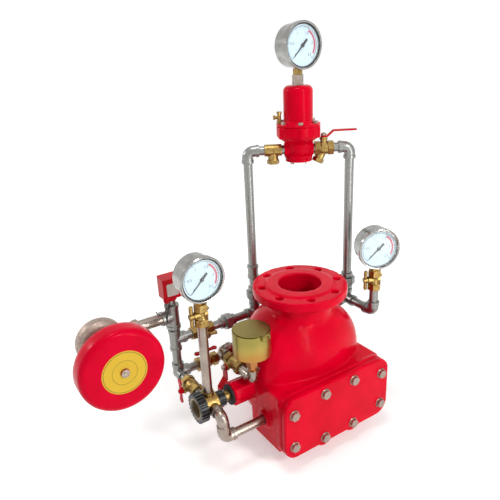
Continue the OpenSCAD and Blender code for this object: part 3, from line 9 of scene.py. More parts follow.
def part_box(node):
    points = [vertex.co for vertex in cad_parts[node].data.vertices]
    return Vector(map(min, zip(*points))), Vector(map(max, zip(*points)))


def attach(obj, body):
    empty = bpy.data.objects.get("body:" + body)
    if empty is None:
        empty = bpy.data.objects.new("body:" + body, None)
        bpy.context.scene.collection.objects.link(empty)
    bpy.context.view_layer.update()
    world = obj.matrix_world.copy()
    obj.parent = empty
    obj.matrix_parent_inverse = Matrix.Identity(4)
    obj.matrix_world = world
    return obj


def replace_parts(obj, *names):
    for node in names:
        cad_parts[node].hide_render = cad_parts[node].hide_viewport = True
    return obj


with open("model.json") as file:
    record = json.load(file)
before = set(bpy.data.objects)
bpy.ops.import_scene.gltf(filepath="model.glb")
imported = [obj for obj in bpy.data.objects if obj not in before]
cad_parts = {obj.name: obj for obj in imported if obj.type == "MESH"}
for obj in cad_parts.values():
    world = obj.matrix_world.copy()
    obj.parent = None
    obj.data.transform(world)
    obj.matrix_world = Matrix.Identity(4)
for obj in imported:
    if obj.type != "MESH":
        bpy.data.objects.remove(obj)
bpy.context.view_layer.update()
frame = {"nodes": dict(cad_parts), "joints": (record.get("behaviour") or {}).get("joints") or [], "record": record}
nodes = frame["nodes"]
jointPlace = {joint["name"]: Vector(joint["pos_m"]) for joint in frame["joints"]}
mm = 0.001

# the photograph's viewpoint, in metres and degrees
viewpoint = {
    "place": (-0.6917, -0.8857, 0.9002),
    "azimuth": -32.29,
    "pitch": 21.24,
    "roll": -2.80,
    "lens": 38.16,
    "sensor": 36.0,
    "farClip": 50,
}


def setCamera(cfg):
    azimuth, pitch, roll = (math.radians(cfg[key]) for key in ("azimuth", "pitch", "roll"))
    level = Vector((math.cos(azimuth), math.sin(azimuth), 0))
    ahead = Vector(
        (-math.sin(azimuth) * math.cos(pitch), math.cos(azimuth) * math.cos(pitch), -math.sin(pitch))
    )
    upward = level.cross(ahead)
    right = math.cos(roll) * level + math.sin(roll) * upward
    top = -math.sin(roll) * level + math.cos(roll) * upward
    data = bpy.data.cameras.new("photoCamera")
    data.lens = cfg["lens"]
    data.sensor_width = cfg["sensor"]
    data.clip_end = cfg["farClip"]
    camera = bpy.data.objects.new("photoCamera", data)
    bpy.context.scene.collection.objects.link(camera)
    turn = Matrix((right, top, -ahead)).transposed()
    camera.matrix_world = Matrix.Translation(cfg["place"]) @ turn.to_4x4()
    bpy.context.scene.camera = camera


setCamera(viewpoint)
print("camera set")


def linear(hexColour):
    channels = [int(hexColour[i : i + 2], 16) / 255 for i in (1, 3, 5)]
    return tuple(c / 12.92 if c <= 0.04045 else ((c + 0.055) / 1.055) ** 2.4 for c in channels) + (1.0,)


def grey(level):
    return (level, level, level, 1)


# the colour with its light cut to a share
def darker(hexColour, share):
    return tuple(share * c for c in linear(hexColour)[:3]) + (1.0,)


# adds one node, sets its sockets by name, and links whatever is given as (node, output)
def addNode(tree, kind, settings=None, **sockets):
    node = tree.nodes.new(kind)
    for key, value in (settings or {}).items():
        setattr(node, key, value)
    for key, value in sockets.items():
        socket = node.inputs[int(key[1:])] if key[0] == "_" else node.inputs[key.replace("_", " ")]
        if isinstance(value, tuple) and len(value) == 2 and isinstance(value[0], bpy.types.Node):
            tree.links.new(value[0].outputs[value[1]], socket)
        else:
            socket.default_value = value
    return node


def newMaterial(name):
    material = bpy.data.materials.new(name)
    material.use_nodes = True
    tree = material.node_tree
    shader = tree.nodes["Principled BSDF"]
    place = addNode(tree, "ShaderNodeTexCoord")
    return material, tree, shader, (place, "Object")


# noise whose grains are about grain millimetres across
def grainNoise(tree, where, grain, detail=2.0, rough=0.5):
    return addNode(
        tree, "ShaderNodeTexNoise", Vector=where, Scale=1000 / grain, Detail=detail, Roughness=rough
    )


def ramp(tree, source, stops):
    node = addNode(tree, "ShaderNodeValToRGB", Fac=source)
    node.color_ramp.elements[0].position = stops[0][0]
    node.color_ramp.elements[0].color = stops[0][1]
    node.color_ramp.elements[1].position = stops[-1][0]
    node.color_ramp.elements[1].color = stops[-1][1]
    for position, colour in stops[1:-1]:
        node.color_ramp.elements.new(position).color = colour
    return node


def link(tree, source, shader, socket):
    tree.links.new(source[0].outputs[source[1]], shader.inputs[socket])


# samples of the shader that rounds edges, and the strength of the bumps on castings and mottled metals
bevelSamples = 6
bumpStrength = 0.6

# stove enamel over sand-cast iron: gloss broken by slow waves of the casting and a fine orange peel;
# grains in millimetres
enamelSkin = {
    "patchGrain": 70,
    "waveGrain": 24,
    "peelGrain": 3.5,
    "rough": (0.26, 0.15),
    "index": 1.2,
    "reflection": "#FFA8B0",
}


def castEnamel(name, colour, shade, waveHeight=1.3, peelHeight=0.06, edge=1.5):
    material, tree, shader, where = newMaterial(name)
    patches = grainNoise(tree, where, enamelSkin["patchGrain"], 3)
    tint = ramp(tree, (patches, "Fac"), [(0.35, linear(shade)), (0.62, linear(colour))])
    link(tree, (tint, "Color"), shader, "Base Color")
    corner = addNode(tree, "ShaderNodeBevel", {"samples": bevelSamples}, Radius=edge * mm)
    waves = grainNoise(tree, where, enamelSkin["waveGrain"], 2)
    swell = addNode(
        tree, "ShaderNodeBump", Strength=bumpStrength, Distance=waveHeight * mm,
        Height=(waves, "Fac"), Normal=(corner, "Normal"),
    )
    peel = grainNoise(tree, where, enamelSkin["peelGrain"], 2)
    skin = addNode(
        tree, "ShaderNodeBump", Strength=bumpStrength, Distance=peelHeight * mm,
        Height=(peel, "Fac"), Normal=(swell, "Normal"),
    )
    link(tree, (skin, "Normal"), shader, "Normal")
    dull, bright = enamelSkin["rough"]
    gloss = ramp(tree, (patches, "Fac"), [(0.3, grey(dull)), (0.7, grey(bright))])
    link(tree, (gloss, "Color"), shader, "Roughness")
    shader.inputs["IOR"].default_value = enamelSkin["index"]
    shader.inputs["Specular Tint"].default_value = linear(enamelSkin["reflection"])
    return material


# metals with a mottled skin: two tones, a roughness range and a shallow bump
def mottledMetal(name, dark, light, rough, grain, bumpHeight=0.03, edge=0.6, metallic=1.0):
    material, tree, shader, where = newMaterial(name)
    spots = grainNoise(tree, where, grain, 4, 0.6)
    tint = ramp(tree, (spots, "Fac"), [(0.35, linear(dark)), (0.65, linear(light))])
    link(tree, (tint, "Color"), shader, "Base Color")
    low, high = rough
    gloss = ramp(tree, (spots, "Fac"), [(0.3, grey(high)), (0.7, grey(low))])
    link(tree, (gloss, "Color"), shader, "Roughness")
    corner = addNode(tree, "ShaderNodeBevel", {"samples": bevelSamples}, Radius=edge * mm)
    grit = grainNoise(tree, where, grain / 4, 2)
    skin = addNode(
        tree, "ShaderNodeBump", Strength=bumpStrength, Distance=bumpHeight * mm,
        Height=(grit, "Fac"), Normal=(corner, "Normal"),
    )
    link(tree, (skin, "Normal"), shader, "Normal")
    shader.inputs["Metallic"].default_value = metallic
    return material


# yellow chromate over zinc plate, tinted by height from rose at the foot to straw at the rim with a slow
# drift; grains and height in millimetres
zincFilm = {
    "driftGrain": 40,
    "driftShare": 0.3,
    "gritGrain": 1.6,
    "gritHeight": 0.03,
    "gritStrength": 0.4,
    "rough": 0.3,
}


def yellowZinc(name, tones, node):
    material, tree, shader, where = newMaterial(name)
    low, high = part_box(node)
    place = addNode(tree, "ShaderNodeSeparateXYZ", Vector=where)
    rise = addNode(tree, "ShaderNodeMapRange", Value=(place, "Z"), From_Min=low.z, From_Max=high.z)
    drift = addNode(
        tree, "ShaderNodeMath", {"operation": "MULTIPLY_ADD"},
        _0=(grainNoise(tree, where, zincFilm["driftGrain"], 2), "Fac"),
        _1=zincFilm["driftShare"], _2=(rise, "Result"),
    )
    tintByHeight = ramp(tree, (drift, "Value"), [(share, linear(tone)) for share, tone in tones])
    link(tree, (tintByHeight, "Color"), shader, "Base Color")
    grit = grainNoise(tree, where, zincFilm["gritGrain"], 2)
    skin = addNode(
        tree, "ShaderNodeBump", Strength=zincFilm["gritStrength"], Distance=zincFilm["gritHeight"] * mm,
        Height=(grit, "Fac"),
    )
    link(tree, (skin, "Normal"), shader, "Normal")
    shader.inputs["Metallic"].default_value = 1.0
    shader.inputs["Roughness"].default_value = zincFilm["rough"]
    return material


# moulded or vulcanised blacks: no metal, a dull skin with a faint grain
def dullSkin(name, colour, rough, grain=1.5, bumpHeight=0.05, strength=0.5, shade=0.7):
    material, tree, shader, where = newMaterial(name)
    grit = grainNoise(tree, where, grain, 3)
    tint = ramp(tree, (grit, "Fac"), [(0.3, darker(colour, shade)), (0.7, linear(colour))])
    link(tree, (tint, "Color"), shader, "Base Color")
    skin = addNode(tree, "ShaderNodeBump", Strength=strength, Distance=bumpHeight * mm, Height=(grit, "Fac"))
    link(tree, (skin, "Normal"), shader, "Normal")
    shader.inputs["Roughness"].default_value = rough
    return material


# flat printed paper or paint, with a trace of fibre
def printedSheet(name, colour, rough=0.5, grain=2.5, shade=0.93):
    material, tree, shader, where = newMaterial(name)
    fibre = grainNoise(tree, where, grain, 3)
    tint = ramp(tree, (fibre, "Fac"), [(0.3, darker(colour, shade)), (0.7, linear(colour))])
    link(tree, (tint, "Color"), shader, "Base Color")
    shader.inputs["Roughness"].default_value = rough
    return material


# plain window glass: clear to lamps, so that the dial behind it stays lit
def clearGlass():
    material, tree, shader = newMaterial("gaugeGlass")[:3]
    shader.inputs["Base Color"].default_value = linear("#FFFFFF")
    shader.inputs["Roughness"].default_value = 0.02
    shader.inputs["IOR"].default_value = 1.45
    shader.inputs["Transmission Weight"].default_value = 1.0
    rays = addNode(tree, "ShaderNodeLightPath")
    through = addNode(tree, "ShaderNodeBsdfTransparent")
    mix = addNode(
        tree, "ShaderNodeMixShader", _0=(rays, "Is Shadow Ray"), _1=(shader, "BSDF"), _2=(through, "BSDF")
    )
    tree.links.new(mix.outputs["Shader"], tree.nodes["Material Output"].inputs["Surface"])
    return material


finishes = {
    "cast_enamel": castEnamel("redCastEnamel", "#E60029", "#D60023"),
    "gong_enamel": castEnamel("redGongEnamel", "#E60230", "#DA022A", 0.2, 0.03),
    "switch_enamel": castEnamel("redSwitchPaint", "#D81E2A", "#CA1824", 0.2, 0.05),
    "handle_enamel": castEnamel("redHandleDip", "#D40A1C", "#C40616", 0.15, 0.05, 0.8),
    "rubber": dullSkin("blackRubber", "#161616", 0.75),
    "plain_steel": mottledMetal("bareSteel", "#94867C", "#B4A69B", (0.25, 0.42), 6),
    "brass": mottledMetal("castBrass", "#84693A", "#AE9158", (0.24, 0.42), 9, 0.06),
    "black_plastic": dullSkin("blackMouldedPlastic", "#0C0B09", 0.34),
    "stainless": mottledMetal("drawnStainless", "#94877E", "#A69A90", (0.20, 0.32), 30, 0.02),
    "galvanised": mottledMetal("galvanisedSteel", "#828280", "#979793", (0.28, 0.40), 3.5, 0.03),
    "gauge_steel": mottledMetal("polishedGaugeSteel", "#8E8D8A", "#A6A5A2", (0.10, 0.18), 20, 0.005),
    "dial_white": printedSheet("paleDialPaint", "#B4C9D4"),
    "lens": clearGlass(),
    "pointer_black": dullSkin("blackPointerLacquer", "#101010", 0.45),
    "yellow_zinc": yellowZinc(
        "yellowZincPlate", [(0.4, "#AE7448"), (0.68, "#B08244"), (0.84, "#A9954E"), (1.0, "#948A4A")],
        "priming_cup",
    ),
    "lead_black": dullSkin("blackLeadInsulation", "#1C1A1A", 0.5),
    "cast_aluminium": mottledMetal(
        "sandCastAluminium", "#958379", "#AE9C90", (0.40, 0.56), 5, bumpHeight=0.15, edge=1.5, metallic=0.85
    ),
}
slotOf = {part["node"]: part["material_slot"] for part in frame["record"]["subparts"]}
for part in frame["record"]["subparts"]:
    shell = nodes[part["node"]]
    shell.data.materials.clear()
    shell.data.materials.append(finishes[part["material_slot"]])
    for face in shell.data.polygons:
        face.use_smooth = True
# the lid gets a plate of its own, olive and a little darker than the cup's
lidPlate = yellowZinc("oliveZincPlate", [(0, "#86773F"), (1, "#8E7E44")], "cup_lid")
nodes["cup_lid"].data.materials[0] = lidPlate
# the hand cover's gasket, in front of this Y, is painted over with the casting; the drip boss's one is bare
coverSide = -0.1
painted = nodes["gaskets"].data
painted.materials.append(finishes["cast_enamel"])
for face in painted.polygons:
    face.material_index = int(face.center.y < coverSide)
print("finishes on", len(nodes), "nodes")

dialInk = dullSkin("dialBlackInk", "#0C0E12", 0.6)
dialRed = printedSheet("dialRedInk", "#AC2C44")
labelYellow = printedSheet("yellowLabelVinyl", "#E8BE1E", 0.35)
labelInk = dullSkin("labelBrownInk", "#5A3A10", 0.5)
plateWhite = printedSheet("whitePlatePaint", "#D8D4CC", 0.35)
# dark bronze for the cap laid over the drip chamber's brass dome, darker than the brass under it
darkBronze = mottledMetal("darkCapBronze", "#2A2118", "#43351F", (0.3, 0.45), 12, 0.02)


def keepPiece(name, mesh, material, body):
    piece = bpy.data.objects.new(name, mesh)
    bpy.context.scene.collection.objects.link(piece)
    mesh.materials.clear()
    mesh.materials.append(material)
    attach(piece, body)
    return piece


def finishMesh(shape, name, place=Matrix()):
    bmesh.ops.transform(shape, matrix=place, verts=shape.verts)
    bmesh.ops.recalc_face_normals(shape, faces=shape.faces)
    mesh = bpy.data.meshes.new(name)
    shape.to_mesh(mesh)
    shape.free()
    return mesh


# castings get the rounded edges of a sand mould: the solid is gridded anew and its grid relaxed;
# lengths in millimetres
castWeld = 0.002
relaxShare = 0.5
castings = {
    "valve_body": {"grid": 2.6, "passes": 2, "domeSpan": (190, 352), "domePasses": 26, "share": 0.5},
    "hand_cover": {"grid": 2.0, "passes": 5, "share": 0.5},
    "acc_body": {"grid": 1.3, "passes": 3, "share": 0.5},
    "acc_dome": {"grid": 1.3, "passes": 3, "share": 0.5},
    "gong_housing": {
        "grid": 1.6, "passes": 3, "share": 0.5,
        "barrel": {
            "coaxial": "gong_bell", "inner": 30, "outer": 54.6, "half": 20, "power": 2.7, "slack": 1.05,
        },
    },
}


def evaluatedMesh(holder):
    bpy.context.view_layer.update()
    mesh = bpy.data.meshes.new_from_object(holder.evaluated_get(bpy.context.evaluated_depsgraph_get()))
    bpy.data.objects.remove(holder)
    return mesh


# turns the square rim of a drum along Y into a round one, by pulling its corner in to a superellipse
def roundRim(shape, cfg):
    lower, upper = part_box(cfg["coaxial"])
    axis = Vector(((lower.x + upper.x) / 2, 0, (lower.z + upper.z) / 2))
    middle = max(vert.co.y for vert in shape.verts) - cfg["half"] * mm
    for vert in shape.verts:
        spoke = Vector((vert.co.x - axis.x, 0, vert.co.z - axis.z))
        out = (spoke.length / mm - cfg["inner"]) / (cfg["outer"] - cfg["inner"])
        along = (vert.co.y - middle) / mm / cfg["half"]
        if 0 < out <= 1 and abs(along) <= cfg["slack"]:
            reach = (out ** cfg["power"] + abs(along) ** cfg["power"]) ** (1 / cfg["power"])
            pull = 1 / max(reach, 1)
            drawn = cfg["inner"] + out * pull * (cfg["outer"] - cfg["inner"])
            place = axis + spoke.normalized() * drawn * mm
            vert.co = (place.x, middle + along * pull * cfg["half"] * mm, place.z)


def relax(mesh, cfg):
    shape = bmesh.new()
    shape.from_mesh(mesh)
    if "barrel" in cfg:
        roundRim(shape, cfg["barrel"])
    low, high = cfg.get("domeSpan", (0, 0))
    crown = [vert for vert in shape.verts if low * mm < vert.co.z < high * mm]
    for chosen, passes in ((crown, cfg.get("domePasses", 0)), (shape.verts[:], cfg["passes"])):
        for step in range(passes):
            bmesh.ops.smooth_vert(
                shape, verts=chosen, factor=relaxShare, use_axis_x=True, use_axis_y=True, use_axis_z=True
            )
    return shape


def recast(name, cfg):
    shape = bmesh.new()
    shape.from_mesh(nodes[name].data)
    bmesh.ops.remove_doubles(shape, verts=shape.verts, dist=castWeld * mm)
    blank = bpy.data.objects.new(name, finishMesh(shape, name))
    bpy.context.scene.collection.objects.link(blank)
    grid = blank.modifiers.new("newGrid", "REMESH")
    grid.mode = "VOXEL"
    grid.voxel_size = cfg["grid"] * mm
    relaxed = finishMesh(relax(evaluatedMesh(blank), cfg), name)
    blank = bpy.data.objects.new(name, relaxed)
    bpy.context.scene.collection.objects.link(blank)
    thin = blank.modifiers.new("fewerFaces", "DECIMATE")
    thin.ratio = cfg["share"]
    mesh = evaluatedMesh(blank)
    mesh.shade_smooth()
    slotName = slotOf[name]
    piece = keepPiece(name + "Casting", mesh, finishes[slotName], "valve")
    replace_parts(piece, name)
    print(name, "recast with", len(mesh.polygons), "faces")


for castName, castSettings in castings.items():
    recast(castName, castSettings)

# cords of the pressure switch, the same points as the solids, in millimetres from the gland
switchLeads = {
    "gland": (-276, 139, 358),
    "diameter": 2.4,
    "roundness": 4,
    "routes": {
        "switchLeadLeft": [
            (-2.5, 0, 0), (-2.5, 0, -4), (-2.6, 0, -8), (-3, -0.2, -12), (-4, -0.6, -16),
            (-5.6, -1.1, -19.6), (-8, -1.6, -22.6), (-11, -2.1, -24.8), (-14.4, -2.6, -26),
            (-18, -3, -26), (-21.4, -3.4, -24.8), (-24.4, -3.8, -22.4), (-26.8, -4.2, -19.2),
            (-28.6, -4.6, -15.6), (-30, -5, -12),
        ],
        "switchLeadRight": [
            (2.5, 0, 0), (2.5, 0, -3.5), (2.4, -0.1, -7), (2.2, -0.3, -10.5), (1.8, -0.6, -14),
            (1.2, -1, -17.4), (0.4, -1.5, -20.8), (-0.6, -2, -24.1), (-1.7, -2.5, -27.3), (-2.8, -3, -30.5),
            (-3.8, -3.5, -33.8), (-4.6, -4, -37.1), (-5.1, -4.5, -40.5), (-5.3, -5, -43.9),
            (-5.2, -5.5, -47.3),
        ],
    },
}


def makeLead(name, route, cfg):
    path = [(Vector(cfg["gland"]) + Vector(point)) * mm for point in route]
    curve = bpy.data.curves.new(name, "CURVE")
    curve.dimensions = "3D"
    curve.bevel_depth = cfg["diameter"] / 2 * mm
    curve.bevel_resolution = cfg["roundness"]
    curve.use_fill_caps = True
    spline = curve.splines.new("POLY")
    spline.points.add(len(path) - 1)
    for point, place in zip(spline.points, path):
        point.co = (*place, 1)
    spline.use_smooth = True
    curve.materials.append(finishes["lead_black"])
    lead = bpy.data.objects.new(name, curve)
    bpy.context.scene.collection.objects.link(lead)
    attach(lead, "valve")
    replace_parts(lead, "switch_leads")


for leadName, leadRoute in switchLeads["routes"].items():
    makeLead(leadName, leadRoute, switchLeads)
print("leads laid")

# thickness of printed marks, and distance from a gauge's stem forward to its pointer's pivot, in millimetres
inkThick = 0.1
pivotAhead = 10

# dial print, in millimetres on the dial's own plane
dialPrint = {
    "height": 16.32,
    "ring": 38.8,
    "ringWidth": 0.8,
    "ringSteps": 72,
    "majorFrom": 34.2,
    "minorFrom": 36.4,
    "tickTo": 38.8,
    "majorWidth": 1.1,
    "minorWidth": 0.5,
    "steps": 5,
    "minorPerStep": 10,
    "sweep": 270,
    "numbers": ["0", "0.5", "1", "1.5", "2", "2.5"],
    "numberRadius": 27,
    "numberSize": 8.6,
    "numberSteps": 3,
    "redFrom": 0.615,
    "redTo": 0.944,
    "redRadius": 33.6,
    "redWidth": 4.2,
}
gaugePlaces = {
    "left": ("left_pointer_turn", 0),
    "right": ("right_pointer_turn", 23),
    "top": ("top_pointer_turn", 0),
}


# frame of a dial: X to the right, Y up, Z out of the dial, origin on the stem's axis
def dialFrame(joint, turn):
    outward = Vector((-math.sin(math.radians(turn)), -math.cos(math.radians(turn)), 0))
    middle = jointPlace[joint] - outward * pivotAhead * mm
    across = Vector((0, 0, 1)).cross(outward)
    turnMatrix = Matrix((across, Vector((0, 0, 1)), outward)).transposed().to_4x4()
    return Matrix.Translation(middle) @ turnMatrix


# flat bar from r0 to r1 at an angle clockwise from straight up
def addBar(shape, angle, r0, r1, width, height):
    place = (
        Matrix.Rotation(-angle, 4, "Z")
        @ Matrix.Translation((0, (r0 + r1) / 2 * mm, height * mm))
        @ Matrix.Diagonal((width * mm, (r1 - r0) * mm, inkThick * mm, 1))
    )
    bmesh.ops.create_cube(shape, size=1, matrix=place)


# flat arc, made by spinning a small rectangle
def addArc(shape, radius, width, start, end, height, steps=48):
    near, far = radius - width / 2, radius + width / 2
    corners = [(near, 0), (far, 0), (far, inkThick), (near, inkThick)]
    section = [shape.verts.new((0, r * mm, (height + z) * mm)) for r, z in corners]
    face = shape.faces.new(section)
    bmesh.ops.rotate(shape, verts=section, cent=(0, 0, 0), matrix=Matrix.Rotation(-start, 3, "Z"))
    full = math.isclose(abs(end - start), 2 * math.pi)
    bmesh.ops.spin(
        shape, geom=[face] + list(face.edges) + section, cent=(0, 0, 0), axis=(0, 0, -1),
        angle=end - start, steps=steps, use_merge=full, use_duplicate=False,
    )
    if full:
        bmesh.ops.delete(shape, geom=[face], context="FACES_ONLY")


def numberMesh(words, size, steps, place):
    letters = bpy.data.curves.new("numberShape", "FONT")
    letters.body = words
    letters.size = size * mm
    letters.align_x = "CENTER"
    letters.align_y = "CENTER"
    letters.extrude = inkThick / 2 * mm
    letters.resolution_u = steps
    holder = bpy.data.objects.new("numberShape", letters)
    bpy.context.scene.collection.objects.link(holder)
    mesh = evaluatedMesh(holder)
    mesh.transform(place)
    return mesh


def printDial(name, joint, turn, cfg):
    place = dialFrame(joint, turn)
    firstAngle = -math.radians(cfg["sweep"] / 2)
    stepAngle = math.radians(cfg["sweep"]) / cfg["steps"]
    marks = bmesh.new()
    addArc(marks, cfg["ring"], cfg["ringWidth"], firstAngle, -firstAngle, cfg["height"], cfg["ringSteps"])
    for step in range(cfg["steps"] + 1):
        angle = firstAngle + step * stepAngle
        addBar(marks, angle, cfg["majorFrom"], cfg["tickTo"], cfg["majorWidth"], cfg["height"])
        if step < cfg["steps"]:
            for small in range(1, cfg["minorPerStep"]):
                lesser = angle + small * stepAngle / cfg["minorPerStep"]
                addBar(marks, lesser, cfg["minorFrom"], cfg["tickTo"], cfg["minorWidth"], cfg["height"])
        spot = Matrix.Translation(
            (
                cfg["numberRadius"] * math.sin(angle) * mm,
                cfg["numberRadius"] * math.cos(angle) * mm,
                cfg["height"] * mm,
            )
        )
        marks.from_mesh(numberMesh(cfg["numbers"][step], cfg["numberSize"], cfg["numberSteps"], spot))
    printed = finishMesh(marks, name + "DialMarks", place)
    keepPiece(name + "DialMarks", printed, dialInk, "valve")
    band = bmesh.new()
    span = math.radians(cfg["sweep"])
    start = firstAngle + cfg["redFrom"] * span
    end = firstAngle + cfg["redTo"] * span
    addArc(band, cfg["redRadius"], cfg["redWidth"], start, end, cfg["height"])
    printed = finishMesh(band, name + "DialRedBand", place)
    keepPiece(name + "DialRedBand", printed, dialRed, "valve")


# gauge face close behind the glass: profiles as (radius, height) and the pointer's outline, in millimetres
gaugeFace = {
    "dial": [(0, 15.3), (42.7, 15.3), (42.7, 16.3), (0, 16.3)],
    "bezel": [
        (46.05, 11), (50, 11), (50, 22.4), (49.4, 24), (48, 24.8), (46.4, 24.6), (45.2, 23.5), (45.2, 23.05),
        (46.05, 23.05),
    ],
    "hub": [(0, 17), (4.4, 17), (4.4, 18.8), (3.2, 19.4), (0, 19.4)],
    "pointer": [(-1.7, 0), (-0.5, 35), (0.5, 35), (1.7, 0), (2.6, -6), (2.6, -17), (-2.6, -17), (-2.6, -6)],
    "pointerAt": (17.4, 18.4),
    "restTurn": 135,
    "steps": 96,
    "hubSteps": 32,
}
# points of a spun profile closer than this, in millimetres, become one, and faces under this area, in square
# metres, are left out
spinWeld = 0.001
emptyArea = 1e-12


def spinProfile(shape, profile, steps):
    points = [shape.verts.new((0, radius * mm, height * mm)) for radius, height in profile]
    sides = [shape.edges.new((points[i - 1], points[i])) for i in range(len(points))]
    bmesh.ops.spin(
        shape, geom=points + sides, cent=(0, 0, 0), axis=(0, 0, 1),
        angle=2 * math.pi, steps=steps, use_merge=True, use_duplicate=False,
    )
    bmesh.ops.remove_doubles(shape, verts=shape.verts, dist=spinWeld * mm)
    slack = [face for face in shape.faces if face.calc_area() < emptyArea]
    bmesh.ops.delete(shape, geom=slack, context="FACES_ONLY")


def makeGaugeFace(name, joint, turn, cfg):
    place = dialFrame(joint, turn)
    rounds = (("dial", "dial_white", "gauge_dials"), ("bezel", "gauge_steel", "gauge_bezels"))
    for piece, slotName, node in rounds:
        shape = bmesh.new()
        spinProfile(shape, cfg[piece], cfg["steps"])
        pieceName = name + piece.capitalize()
        mesh = finishMesh(shape, pieceName, place)
        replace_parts(keepPiece(pieceName, mesh, finishes[slotName], "valve"), node)
    shape = bmesh.new()
    low, high = cfg["pointerAt"]
    blade = shape.faces.new([shape.verts.new((x * mm, y * mm, low * mm)) for x, y in cfg["pointer"]])
    upper = bmesh.ops.extrude_face_region(shape, geom=[blade], use_keep_orig=True)["geom"]
    raised = [part for part in upper if isinstance(part, bmesh.types.BMVert)]
    bmesh.ops.translate(shape, verts=raised, vec=(0, 0, (high - low) * mm))
    spinProfile(shape, cfg["hub"], cfg["hubSteps"])
    atRest = place @ Matrix.Rotation(math.radians(cfg["restTurn"]), 4, "Z")
    mesh = finishMesh(shape, name + "PointerBlade", atRest)
    body = name + "_pointer"
    pointer = keepPiece(name + "PointerBlade", mesh, finishes["pointer_black"], body)
    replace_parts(pointer, body)


for gaugeName, (gaugeJoint, gaugeTurn) in gaugePlaces.items():
    printDial(gaugeName, gaugeJoint, gaugeTurn, dialPrint)
    makeGaugeFace(gaugeName, gaugeJoint, gaugeTurn, gaugeFace)
print("gauge faces made")

# pressed bell with a flat front: profile as (radius, height above the front) and the arcs of its shoulder,
# in millimetres, and the angle in degrees from which an edge is shaded as sharp
gongBell = {
    "face": [(5.3, 0), (47.5, 0), (64, -0.2)],
    "shoulderAt": (76, -14.4),
    "shoulderRadii": (14, 10),
    "arcSteps": 8,
    "skirt": [(90.4, -30), (90.6, -39), (89.8, -40.4), (87.2, -40.4), (86.4, -39), (86.2, -30)],
    "inside": [(64, -4.3), (5.3, -4)],
    "steps": 128,
    "crease": 40,
}


# frame of the bell's front: Z out of the front, origin on the gong's axis
def bellFrame():
    lower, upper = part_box("gong_bell")
    middle = Matrix.Translation(((lower.x + upper.x) / 2, lower.y, (lower.z + upper.z) / 2))
    return middle @ Matrix.Rotation(math.radians(90), 4, "X")


def makeBell(cfg):
    across, height = cfg["shoulderAt"]
    quarter = [math.radians(90) * step / cfg["arcSteps"] for step in range(cfg["arcSteps"] + 1)]
    outer, inner = (
        [(across + radius * math.sin(angle), height + radius * math.cos(angle)) for angle in quarter]
        for radius in cfg["shoulderRadii"]
    )
    shape = bmesh.new()
    spinProfile(shape, cfg["face"] + outer + cfg["skirt"] + inner[::-1] + cfg["inside"], cfg["steps"])
    mesh = finishMesh(shape, "gongBellShell", bellFrame())
    mesh.shade_smooth()
    mesh.set_sharp_from_angle(angle=math.radians(cfg["crease"]))
    shell = keepPiece("gongBellShell", mesh, finishes["gong_enamel"], "valve")
    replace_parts(shell, "gong_bell")


makeBell(gongBell)

# round label on the front of the bell, in millimetres
bellLabel = {"radius": 47, "hole": 9.5, "thick": 0.5, "rings": [(44, 0.9), (26, 0.6)], "steps": 96}


def makeBellLabel(cfg):
    place = bellFrame()
    disc = bmesh.new()
    middle, width = (cfg["radius"] + cfg["hole"]) / 2, cfg["radius"] - cfg["hole"]
    addArc(disc, middle, width, 0, 2 * math.pi, 0, cfg["steps"])
    for vert in disc.verts:
        if vert.co.z > inkThick / 2 * mm:
            vert.co.z = cfg["thick"] * mm
    keepPiece("bellLabel", finishMesh(disc, "bellLabel", place), labelYellow, "valve")
    ringPrint = bmesh.new()
    for radius, width in cfg["rings"]:
        addArc(ringPrint, radius, width, 0, 2 * math.pi, cfg["thick"], cfg["steps"])
    printed = finishMesh(ringPrint, "bellLabelRings", place)
    keepPiece("bellLabelRings", printed, labelInk, "valve")


makeBellLabel(bellLabel)

# plain plate on the front of the pressure switch, in millimetres
switchPlate = {"width": 28, "height": 30, "thick": 0.6, "round": 2.5, "roundSteps": 4, "below": 27}


def makeSwitchPlate(cfg):
    lower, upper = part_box("pressure_switch")
    middle = ((lower.x + upper.x) / 2, lower.y - cfg["thick"] / 2 * mm, upper.z - cfg["below"] * mm)
    place = Matrix.Translation(middle)
    plate = bmesh.new()
    bmesh.ops.create_cube(plate, size=1)
    size = Matrix.Diagonal((cfg["width"] * mm, cfg["thick"] * mm, cfg["height"] * mm, 1))
    bmesh.ops.transform(plate, matrix=size, verts=plate.verts)
    corners = [e for e in plate.edges if abs(e.verts[0].co.y - e.verts[1].co.y) > cfg["thick"] / 2 * mm]
    bmesh.ops.bevel(
        plate, geom=corners, offset=cfg["round"] * mm, affect="EDGES", segments=cfg["roundSteps"],
        profile=0.5, material=-1,
    )
    keepPiece("switchPlate", finishMesh(plate, "switchPlate", place), plateWhite, "valve")


makeSwitchPlate(switchPlate)
print("labels fixed")

# dark cap over the domed end of the drip chamber, in millimetres
chamberCap = {"domeRadius": 32.36, "reach": 22.4, "lift": 0.3, "rings": 8, "steps": 64}


